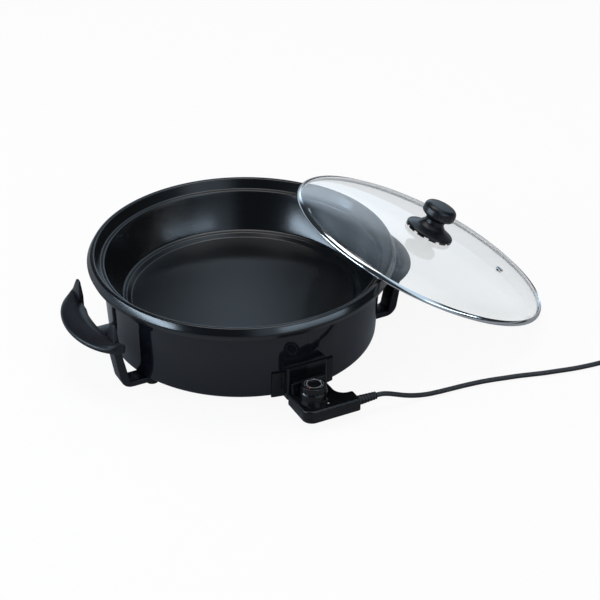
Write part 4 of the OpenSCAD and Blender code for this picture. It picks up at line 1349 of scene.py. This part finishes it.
@dataclass
class SideHandle:
    """A moulded handle: crowned ear that slopes in for the fingers, pointed straps, and arms under the skirt."""

    ear_inner: float = 0.215
    ear_outer: float = 0.253
    ear_root: float = 0.200
    ear_half: float = 0.084
    ear_long: float = 0.086
    ear_top: float = 0.077
    ear_thick: float = 0.008
    lip_arc: float = 0.290
    lip_wide: float = 0.011
    lip_rise: float = 0.005
    crest_part: float = 0.34
    crest_share: float = 0.8
    edge_share: float = 1.2
    strap_off: float = STRAP_OFF
    back: float = STRAP_BACK
    strap_wide: float = 0.025
    strap_thick: float = 0.012
    strap_out: float = 0.009
    strap_lean: float = 0.011
    strap_gap: float = 0.0003
    strap_edge: float = 0.0012
    fin_rise: float = 0.028
    fin_tip: float = 0.004
    fin_shoulder: float = 0.007
    fin_thick: float = 0.007
    fin_over: float = 0.001
    fin_reach: Point = (0.1, 0.3)
    arm_low: float = 0.008
    arm_high: float = 0.016
    arm_inner: float = 0.1505
    stations: int = 48

    def outer(self, y: float) -> float:
        """The ear's outer edge at a distance from the handle's middle."""
        return self.ear_root + (self.ear_outer - self.ear_root) * math.sqrt(1 - (y / self.ear_long) ** 2)

    def inner(self, y: float) -> float:
        """The ear's inner edge at a distance from the handle's middle."""
        return self.ear_inner - self.lip_arc + math.sqrt(self.lip_arc ** 2 - y ** 2)

    def crest(self, y: float) -> float:
        """Height of the ear's crest, which rises towards the straps."""
        return self.ear_top + self.crest_share * self.lip_rise * (1 + (y / self.ear_half) ** 2)

    def section(self, y: float) -> Ring:
        """A section across the ear: outer edge, rounded top, crest, slope for the fingers and underside.

        Args:
            y: Distance from the handle's middle.

        Returns:
            The points round the section.
        """
        out, inn = self.outer(y), self.inner(y)
        low, top = self.ear_top - self.ear_thick, self.ear_top
        # A millimetre across the ear, which shrinks with the ear towards its ends
        mm = 0.001 * min(1.0, (out - inn) / (2 * self.lip_wide))
        ridge, crest = inn + self.crest_part * (out - inn), self.crest(y)
        edge = top - 0.001 + self.edge_share * self.lip_rise * (y / self.ear_half) ** 2
        points = [
            (out - 3 * mm, low), (out - 0.6 * mm, low + 0.0015), (out, low + 0.0035), (out - 0.8 * mm, top - 0.0015),
            (out - 3 * mm, top + 0.0003), ((out + ridge) / 2, top + 0.6 * (crest - top) + 0.0008),
            (ridge + 3 * mm, crest - 0.0005), (ridge, crest), (ridge - 3 * mm, crest - 0.0007),
            ((ridge + inn) / 2, (crest + edge) / 2), (inn + 1.5 * mm, edge), (inn, edge - 0.0015),
            (inn + 1 * mm, low + 0.001), (inn + 3 * mm, low),
        ]
        return [(x, y, z) for x, z in points]

    def ear(self) -> Piece:
        """Lofts the ear and smooths it.

        Returns:
            The ear.
        """
        rings = [self.section(self.ear_half * (2 * i / self.stations - 1)) for i in range(self.stations + 1)]
        piece = Bench.loft("handle_ear", rings)
        Bench.modify(piece, "SUBSURF", levels=2, render_levels=2)
        return piece

    def strap(self, side: int) -> Piece:
        """Extrudes one strap with its arm, cuts its pointed top and rounds its edges.

        Args:
            side: One for the strap at the back, and minus one for the other.

        Returns:
            The strap.
        """
        top = self.inner(self.strap_off) + self.strap_gap
        out = top + self.strap_out
        low = self.ear_top - self.ear_thick
        tip = self.ear_top + self.fin_rise
        over = self.fin_over
        outline = rounded([
            (self.arm_inner, self.arm_low, 0.003),
            (out - self.strap_lean, self.arm_low, 0.017),
            (out, low + 0.003, 0.0),
            (top + self.fin_thick, self.crest(self.strap_off) + 0.001, 0.002),
            (top + self.fin_thick / 2, tip + over, 0.0),
            (top + 0.0005, tip + over, 0.0),
            (top, low + 0.001, 0.0),
            (out - self.strap_thick, low - 0.006, 0.006),
            (out - self.strap_lean - self.strap_thick + 0.001, self.arm_high, 0.004),
            (self.arm_inner, self.arm_high, 0.003),
        ], True)
        half = self.strap_wide / 2
        piece = Bench.prism("handle_strap", outline, -half, half)
        middle = side * self.strap_off
        Bench.place(piece, moved(0.0, middle) @ turned(QUARTER, "X"))
        shoulder = self.ear_top + self.fin_shoulder
        shape = Bench.prism("fin_outline", rounded([
            (middle - half - over, 0.0, 0.0),
            (middle + half + over, 0.0, 0.0),
            (middle + half + over, shoulder, 0.004),
            (middle + self.fin_tip, tip, 0.0035),
            (middle - self.fin_tip, tip, 0.0035),
            (middle - half - over, shoulder, 0.004),
        ], True), *self.fin_reach)
        Bench.place(shape, ALONG_X)
        Bench.combine(piece, shape, "INTERSECT")
        Bench.bevel(piece, self.strap_edge)
        return piece

    def handle(self, name: str) -> Piece:
        """Joins the ear and both straps into one moulding.

        Args:
            name: The handle's name.

        Returns:
            The right handle.
        """
        piece = self.ear()
        for side in (-1, 1):
            Bench.combine(piece, self.strap(side), "UNION")
        Bench.place(piece, moved(0.0, self.back))
        piece.name = name
        return piece

    def build(self) -> None:
        """Builds both handles."""
        right = self.handle("right_side_handle")
        left = Bench.twin(right, "left_side_handle")
        Bench.mirror_x(left)
        dress(right, FINISHES.phenolic, Body.COOKER, "right_handle")
        dress(left, FINISHES.phenolic, Body.COOKER, "left_handle")


@dataclass
class Feet:
    """Four rubber feet, each with a recess for its screw."""

    reach: float = 0.160
    spread: float = STRAP_OFF
    back: float = STRAP_BACK
    wide: float = 0.019
    taper: float = 0.001
    height: float = 0.008
    recess: float = 0.0045
    recess_height: float = 0.004
    bore: float = 0.00205

    def build(self) -> None:
        """Spins one foot and copies it to the four straps."""
        first = Bench.revolve("foot", rounded([
            (self.recess, 0.0, 0.0006),
            (self.wide / 2 - self.taper, 0.0, 0.0015),
            (self.wide / 2, self.height, 0.0006),
            (self.bore, self.height, 0.0),
            (self.bore, self.recess_height, 0.0),
            (self.recess, self.recess_height, 0.0),
        ], True), True, 64)
        feet = []
        for x in (-self.reach, self.reach):
            for y in (self.back - self.spread, self.back + self.spread):
                foot = Bench.twin(first, "foot_copy")
                Bench.place(foot, moved(x, y))
                feet.append(foot)
        bpy.data.objects.remove(first)
        dress(Bench.join(feet, "rubber_feet"), FINISHES.rubber, Body.COOKER, "feet")


# Control


@dataclass
class Control:
    """The plug-in control: two moulded shells with a cove and a turret, and the guard that it plugs into."""

    low: float = 0.011
    split: float = 0.018
    groove: float = 0.0004
    top: float = 0.029
    bevel: float = 0.003
    bevel_in: float = 0.9
    lower_edge: float = 0.0015
    left: float = 0.030
    right: float = 0.028
    back: float = 0.200
    front: float = 0.254
    arm_reach: float = 0.049
    arm_wide: float = 0.024
    arm_round: float = 0.0025
    front_round: float = 0.014
    cove: float = 0.015
    hood: float = 0.0435
    hood_wide: float = 0.0025
    hood_foot: float = 0.0065
    hood_inset: float = 0.004
    hood_sink: float = 0.001
    hood_round: float = 0.0015
    hood_edge: float = 0.0008
    dial_axis: Point = DIAL_AXIS
    spindle: float = SPINDLE_BORE
    turret: float = 0.0165
    turret_top: float = 0.040
    turret_flare: float = 0.003
    turret_sink: float = 0.003
    flare_sink: float = 0.00125
    pointer_tip: Point = (0.0067, -0.2424)
    pointer_half: float = 0.0016
    pointer_back: float = 0.0013
    print_sink: float = 0.0001
    print_proud: float = 0.00008
    nose_edge: float = 0.0006
    guard_edge: float = 0.0009

    def level(self, inset: float, height: float) -> Ring:
        """One section of the housing.

        Args:
            inset: How far its outline is moved in.
            height: Its height.

        Returns:
            The points round the section.
        """
        left, right = -self.left + inset, self.right - inset
        front, arm = -self.front + inset, self.arm_reach - inset
        arm_back = -self.front + self.arm_wide - inset
        outline = rounded([
            (left, -self.back, 0.0),
            (left, front, self.front_round - inset),
            (arm, front, self.arm_round),
            (arm, arm_back, self.arm_round),
            (right, arm_back, self.cove + inset),
            (right, -self.back, 0.0),
        ], True, 10)
        return [(x, y, height) for x, y in outline]

    def upper(self) -> None:
        """Lofts the upper shell with its rounded top edge, and adds the turret and the hood."""
        rings = [self.level(self.groove, self.split), self.level(0.0, self.split + self.groove)]
        for inn, down in quarter_round(8):
            rings.append(self.level(self.bevel * inn * self.bevel_in, self.top - self.bevel * down))
        piece = Bench.loft("control_cover", rings)
        turret = Bench.revolve("turret", rounded([
            (self.spindle, self.top - self.turret_sink, 0.0),
            (self.turret + self.turret_flare, self.top - self.flare_sink, 0.0),
            (self.turret, (self.top + self.turret_top) / 2, 0.005),
            (self.turret, self.turret_top, 0.001),
            (self.spindle, self.turret_top, 0.0),
        ], True, 8), True, 96)
        Bench.place(turret, moved(*self.dial_axis))
        Bench.combine(piece, turret, "UNION")
        Bench.combine(piece, self.ridge(), "UNION")
        dress(piece, FINISHES.gloss, Body.CONTROL, "control_upper_shell", crease=40.0)

    def ridge(self) -> Piece:
        """The hood at the housing's back, as high as the nose behind it.

        Returns:
            The hood.
        """
        foot = self.top - self.hood_sink
        piece = Bench.prism("hood_ridge", rounded([
            (-self.back, foot, 0.0),
            (-self.back - self.hood_foot, foot, 0.0),
            (-self.back - self.hood_wide, self.hood, self.hood_round),
            (-self.back, self.hood, 0.0),
        ], True), -self.left + self.hood_inset, self.right - self.hood_inset)
        Bench.place(piece, ALONG_X)
        Bench.bevel(piece, self.hood_edge, angle=50.0)
        return piece

    def lower(self) -> None:
        """Lofts the lower shell with its rounded bottom edge."""
        edge = self.lower_edge
        rings = [self.level(edge * inn, self.low + edge * up) for up, inn in quarter_round(5)]
        rings += [self.level(0.0, self.split - self.groove), self.level(self.groove, self.split)]
        piece = Bench.loft("control_base", rings)
        dress(piece, FINISHES.gloss, Body.CONTROL, "control_lower_shell", crease=40.0)

    def pointer(self) -> None:
        """Prints a small triangle in front of the dial."""
        x, y = self.pointer_tip
        half, back = self.pointer_half, self.pointer_back
        piece = Bench.prism("dial_pointer", [(x - half, y - back), (x + half, y - back), (x, y + half)],
                            self.top - self.print_sink, self.top + self.print_proud)
        dress(piece, FINISHES.print_white, Body.CONTROL)

    def build(self) -> None:
        """Builds the shells, the pointer, the nose and the guard."""
        self.upper()
        self.lower()
        self.pointer()
        nose = Bench.from_node("control_nose", "plug_nose", self.nose_edge)
        dress(nose, FINISHES.phenolic, Body.CONTROL, "control_nose")
        guard = Bench.from_node("socket_guard", "guard_box", self.guard_edge)
        dress(guard, FINISHES.gloss, Body.COOKER, "socket_guard")


@dataclass
class Dial:
    """The thermostat dial: fluted grip, dished top, printed scale."""

    axis: Point = DIAL_AXIS
    low: float = 0.0404
    height: float = 0.013
    foot: float = 0.018
    foot_height: float = 0.003
    grip: float = 0.0165
    grip_height: float = 0.005
    grip_taper: float = 0.0005
    dip: float = 0.0085
    dip_slope: float = 0.001
    dip_depth: float = 0.002
    flutes: int = 18
    flute: float = 0.0012
    flute_off: float = 0.0004
    flute_low: float = 0.0045
    flute_short: float = 0.0065
    bore: float = SPINDLE_BORE
    bore_depth: float = 0.009
    scale_start: float = 200.0
    scale_sweep: float = 270.0
    scale_ring: float = 0.0096
    line: float = 0.0003
    numbers: int = 5
    figure_size: float = 0.0026
    figure_off: float = 0.0107
    figure_thick: float = 0.0001
    ticks: int = 4
    tick_near: float = 0.0121
    main_tick_near: float = 0.0119
    tick_far: float = 0.0130
    start_turn: float = 14.0
    start_near: float = 0.0100
    start_wide: float = 0.0016
    mark_sink: float = 0.0002
    mark_proud: float = 0.00008

    def build(self) -> None:
        """Builds the knob and its printed scale."""
        self.knob()
        self.scale()

    def knob(self) -> None:
        """Spins the knob and cuts its grip flutes."""
        top = self.height
        piece = Bench.revolve("thermostat_dial", rounded([
            (self.bore, 0.0, 0.0),
            (self.foot, 0.0, 0.0005),
            (self.foot, self.foot_height, 0.001),
            (self.grip, self.grip_height, 0.001),
            (self.grip - self.grip_taper, top, 0.0015),
            (self.dip + self.dip_slope, top, 0.001),
            (self.dip - self.dip_slope, top - self.dip_depth, 0.001),
            (0.0, top - self.dip_depth, 0.0),
            (0.0, self.bore_depth, 0.0),
            (self.bore, self.bore_depth, 0.0),
        ], True, 6), True, 144)
        off = self.grip + self.flute_off
        long = self.height - self.flute_short
        for i in range(self.flutes):
            turn = math.tau * i / self.flutes
            middle = (off * math.cos(turn), off * math.sin(turn), self.flute_low + long / 2)
            Bench.combine(piece, Bench.rod("flute_cut", self.flute, long, sides=16, middle=middle), "DIFFERENCE")
        Bench.place(piece, moved(*self.axis, self.low))
        dress(piece, FINISHES.gloss, Body.DIAL, "dial", crease=40.0)

    def mark(self, name: str, angle: float, near: float, far: float, wide: float) -> Piece:
        """One radial mark on the dial's top.

        Args:
            name: The mark's name.
            angle: Its direction from the axis, in degrees.
            near: Where it starts.
            far: Where it ends.
            wide: Its width.

        Returns:
            The mark.
        """
        half = wide / 2
        surface = self.low + self.height
        piece = Bench.prism(name, [(near, -half), (far, -half), (far, half), (near, half)],
                            surface - self.mark_sink, surface + self.mark_proud)
        Bench.place(piece, moved(*self.axis) @ turned(math.radians(angle)))
        return piece

    def ring(self) -> Piece:
        """The printed ring on the dial's top.

        Returns:
            The ring.
        """
        near, far = self.scale_ring, self.scale_ring + self.line
        low, high = self.height - self.mark_sink, self.height + self.mark_proud
        piece = Bench.revolve("scale_ring", [(near, low), (far, low), (far, high), (near, high)], True, 96)
        Bench.place(piece, moved(*self.axis, self.low))
        return piece

    def figure(self, text: str, angle: float) -> Piece:
        """One number of the scale, as a thin raised print.

        Args:
            text: The number.
            angle: Its direction from the axis, in degrees.

        Returns:
            The number.
        """
        Bench.clear()
        bpy.ops.object.text_add()
        drawn = bpy.context.object.data
        drawn.body = text
        drawn.size = self.figure_size
        drawn.align_x = drawn.align_y = "CENTER"
        drawn.extrude = self.figure_thick
        bpy.ops.object.convert(target="MESH")
        piece = bpy.context.object
        Bench.place(piece, moved(*self.axis, self.low + self.height) @ turned(math.radians(angle))
                    @ moved(self.figure_off, 0.0) @ turned(-QUARTER))
        return piece

    def scale(self) -> None:
        """Prints the ring, the ticks, the numbers and the red start mark."""
        pieces = [self.ring()]
        ticks = self.numbers * self.ticks
        for i in range(ticks + 1):
            angle = self.scale_start - self.scale_sweep * i / ticks
            near = self.tick_near if i % self.ticks else self.main_tick_near
            pieces.append(self.mark("tick", angle, near, self.tick_far, self.line))
        for i in range(self.numbers):
            angle = self.scale_start - self.scale_sweep * (i + 0.5) / self.numbers
            pieces.append(self.figure(str(i + 1), angle))
        dress(Bench.join(pieces, "dial_scale"), FINISHES.print_white, Body.DIAL)
        start = self.mark("dial_start_mark", self.scale_start + self.start_turn, self.start_near, self.tick_far,
                          self.start_wide)
        dress(start, FINISHES.print_red, Body.DIAL)


# Lid


@dataclass
class GlassLid:
    """The loose lid: domed glass in a steel band, steam vent, and a knob on a notched collar."""

    reach: float = 0.261
    side: float = 0.007
    lift: float = 0.0852
    tilt: float = 26.4
    turn: float = -10.0
    glass: float = 0.1897
    glass_thick: float = 0.0036
    glass_low: float = 0.0013
    dome: float = 0.028
    dome_steps: int = 40
    dome_crowding: float = 0.8
    band_height: float = 0.006
    band_thick: float = 0.0012
    band_lip: float = 0.002
    band_soft: float = 0.0003
    band_steps: int = 8
    gap: float = 0.0001
    vent_off: float = 0.114
    vent_turn: float = -22.0
    vent: float = 0.008
    vent_wall: float = 0.0012
    vent_below: float = 0.0015
    vent_lip: float = 0.002
    vent_lip_low: float = 0.0002
    vent_top: float = 0.0014
    vent_cut: float = 0.02
    screw: float = 0.005
    screw_hole: float = 0.001
    fit: float = 0.00005
    washer: float = 0.0015
    knob: float = 0.048
    knob_height: float = 0.030
    neck: float = 0.030
    collar: float = 0.070
    collar_height: float = 0.014
    collar_wall: float = 0.0025
    collar_gap: float = 0.0004
    collar_fit: float = 0.0002
    notches: int = 12
    notch_half: float = 0.0035
    notch_height: float = 0.0026
    notch_over: float = 0.001

    def lean(self) -> Matrix:
        """The lid's leaning place, from its own frame with the band's underside at height zero."""
        place = turned(math.radians(self.turn)) @ moved(self.reach, self.side, self.lift)
        return place @ turned(math.radians(self.tilt), "Y")

    def dome_point(self, angle: float, inwards: float) -> Point:
        """A point of the dome's outer face, moved inwards.

        Args:
            angle: Its place on the face's ellipse.
            inwards: How far it is moved.

        Returns:
            Its radius and height.
        """
        out = Vector((math.cos(angle) / self.glass, math.sin(angle) / self.dome)).normalized()
        return (
            self.glass * math.cos(angle) - inwards * out.x,
            self.glass_low + self.dome * math.sin(angle) - inwards * out.y,
        )

    def height_at(self, radius: float) -> float:
        """Height of the dome's outer face."""
        return self.glass_low + self.dome * math.sqrt(1 - (radius / self.glass) ** 2)

    def slope_at(self, radius: float) -> float:
        """Slope of the dome's outer face."""
        return self.dome * radius / (self.glass ** 2 * math.sqrt(1 - (radius / self.glass) ** 2))

    def collar_low(self) -> float:
        """Height at which the collar stands on its washer."""
        return self.glass_low + self.dome + self.washer

    def build(self) -> None:
        """Builds the glass, the band, the vent and the knob."""
        self.pane()
        self.band()
        self.steam_vent()
        self.cap()
        self.skirted_collar()

    def finish(self, piece: Piece, finish: Surface, node: str) -> None:
        """Leans a piece with the lid and dresses it."""
        Bench.place(piece, self.lean())
        dress(piece, finish, Body.LID, node, crease=40.0)

    def pane(self) -> None:
        """Spins the domed glass and cuts the hole for its vent."""
        steps = self.dome_steps
        # The angles lie closer together towards the crown
        angles = [QUARTER * (1 - i / steps) ** self.dome_crowding for i in range(steps + 1)]
        hole = self.screw / 2 + self.screw_hole
        crown = [self.dome_point(a, 0.0) for a in angles]
        under = [self.dome_point(a, self.glass_thick) for a in angles]
        crown[0] = (hole, self.height_at(hole))
        under[0] = (hole, self.height_at(hole) - self.glass_thick)
        piece = Bench.revolve("domed_glass", [*crown, *reversed(under)], True, 192)
        cutter = Bench.rod("vent_cut", self.vent / 2 + self.fit, self.vent_cut, sides=32)
        Bench.place(cutter, self.vent_place())
        Bench.combine(piece, cutter, "DIFFERENCE")
        self.finish(piece, FINISHES.glass, "lid_glass")

    def vent_place(self) -> Matrix:
        """Where the vent stands on the dome."""
        upright = moved(self.vent_off, 0.0, self.height_at(self.vent_off))
        return turned(math.radians(self.vent_turn)) @ upright @ turned(math.atan(self.slope_at(self.vent_off)), "Y")

    def band(self) -> None:
        """Spins the steel band that is rolled over the glass's edge."""
        climb = math.asin((self.band_height - self.glass_low) / self.dome)
        wall = [climb * i / self.band_steps for i in range(self.band_steps + 1)]
        inner = self.glass - self.glass_thick - self.band_lip
        edge, thick, soft = self.glass + self.gap, self.band_thick, self.band_soft
        piece = Bench.revolve("steel_band", [
            (inner, soft),
            (inner + soft, 0.0),
            (edge + thick * 0.4, 0.0),
            (edge + thick * 0.85, thick * 0.25),
            *[self.dome_point(a, -thick - self.gap) for a in wall],
            *[self.dome_point(a, -self.gap) for a in reversed(wall)],
            (edge, thick),
            (inner, thick),
        ], True, 192)
        self.finish(piece, FINISHES.bright, "lid_band")

    def steam_vent(self) -> None:
        """Spins the vent's eyelet."""
        half = self.vent / 2
        inner, lip = half - self.vent_wall, half + self.vent_lip
        below = -self.glass_thick - self.vent_below
        piece = Bench.revolve("vent_eyelet", rounded([
            (inner, below, 0.0),
            (half, below, 0.0),
            (half, self.vent_lip_low, 0.0),
            (lip, self.vent_lip_low, 0.0),
            (lip, 0.0008, 0.0003),
            (half + 0.001, self.vent_top, 0.0005),
            (inner, self.vent_top, 0.0005),
        ], True, 4), True, 48)
        Bench.place(piece, self.vent_place())
        self.finish(piece, FINISHES.bright, "lid_vent")

    def cap(self) -> None:
        """Spins the mushroom cap with its neck."""
        low = self.collar_low() + self.collar_height
        top = low + self.knob_height
        bore = self.screw / 2 + self.fit
        deep = low + self.knob_height / 2 + 0.001
        piece = Bench.revolve("knob_top", rounded([
            (bore, low, 0.0),
            (self.neck / 2, low, 0.0),
            (self.neck / 2 - 0.001, low + 0.25 * self.knob_height, 0.005),
            (self.knob / 2, low + 0.42 * self.knob_height, 0.004),
            (self.knob / 2, top - 0.002, 0.008),
            (0.0, top, 0.0),
            (0.0, deep, 0.0),
            (bore, deep, 0.0),
        ], True, 10), True, 112)
        self.finish(piece, FINISHES.phenolic, "knob_cap")

    def skirted_collar(self) -> None:
        """Spins the collar and cuts the notches in its lower edge."""
        base = self.collar_low()
        neck = base + self.collar_height
        half = self.collar / 2
        inner = half - self.collar_wall
        edge = self.height_at(inner) + self.collar_gap
        bore = self.screw / 2 + self.collar_fit
        piece = Bench.revolve("knob_skirt", rounded([
            (bore, base, 0.0),
            (0.013, base, 0.0),
            (0.014, base + 0.002, 0.0),
            (inner, edge + 0.003, 0.0),
            (inner, edge, 0.0),
            (half, edge, 0.0005),
            (half, edge + 0.005, 0.003),
            (self.neck / 2 + 0.006, neck - 0.005, 0.009),
            (self.neck / 2 + 0.0015, neck, 0.0),
            (bore, neck, 0.0),
        ], True, 8), True, 144)
        over = self.notch_over
        for i in range(self.notches):
            cut = Bench.block("notch_cut", (inner - over, -self.notch_half, edge - over),
                              (half + over, self.notch_half, edge + self.notch_height))
            Bench.place(cut, turned(math.tau * i / self.notches))
            Bench.combine(piece, cut, "DIFFERENCE")
        self.finish(piece, FINISHES.phenolic, "knob_collar")


# Carried-over nodes


CARRIED: Mapping[str, Surface] = {
    "dial_spindle": FINISHES.steel,
    "knob_screw": FINISHES.steel,
    "knob_washer": FINISHES.rubber,
    "centre_stud": FINISHES.steel,
    "base_nut": FINISHES.steel,
    "heating_element": FINISHES.element,
    "element_clips": FINISHES.zinc,
    "sensor_block": FINISHES.cast,
    "terminal_pins": FINISHES.steel,
    "terminal_insulator": FINISHES.ceramic,
    "guard_screws": FINISHES.steel,
    "foot_screws": FINISHES.steel,
    "foot_nuts": FINISHES.steel,
    "contact_sockets": FINISHES.brass,
    "probe": FINISHES.bright,
    "thermostat_switch": FINISHES.ceramic,
    "control_screws": FINISHES.steel,
    "plug_pins": FINISHES.bright,
}


def dress_node(node: str, finish: Surface) -> None:
    """Gives a CAD node that stays in view its finish.

    Args:
        node: The node's name.
        finish: Its finish.
    """
    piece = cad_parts[node]
    if not piece.material_slots:
        piece.data.materials.append(None)
    for slot in piece.material_slots:
        slot.link = "OBJECT"
        slot.material = finish.material()
    LOG.info("%s kept from the frame", node)


def main() -> None:
    """Builds the studio and every sub-assembly, and gives the CAD nodes that stay in view their finishes."""
    logging.basicConfig(level=logging.INFO, format="%(name)s: %(message)s")
    for part in (Studio(), Lead(), PanBody(), SideHandle(), Feet(), Control(), Dial(), GlassLid()):
        part.build()
    for node, finish in CARRIED.items():
        dress_node(node, finish)
    Bench.clear()


if __name__ == "__main__":
    main()
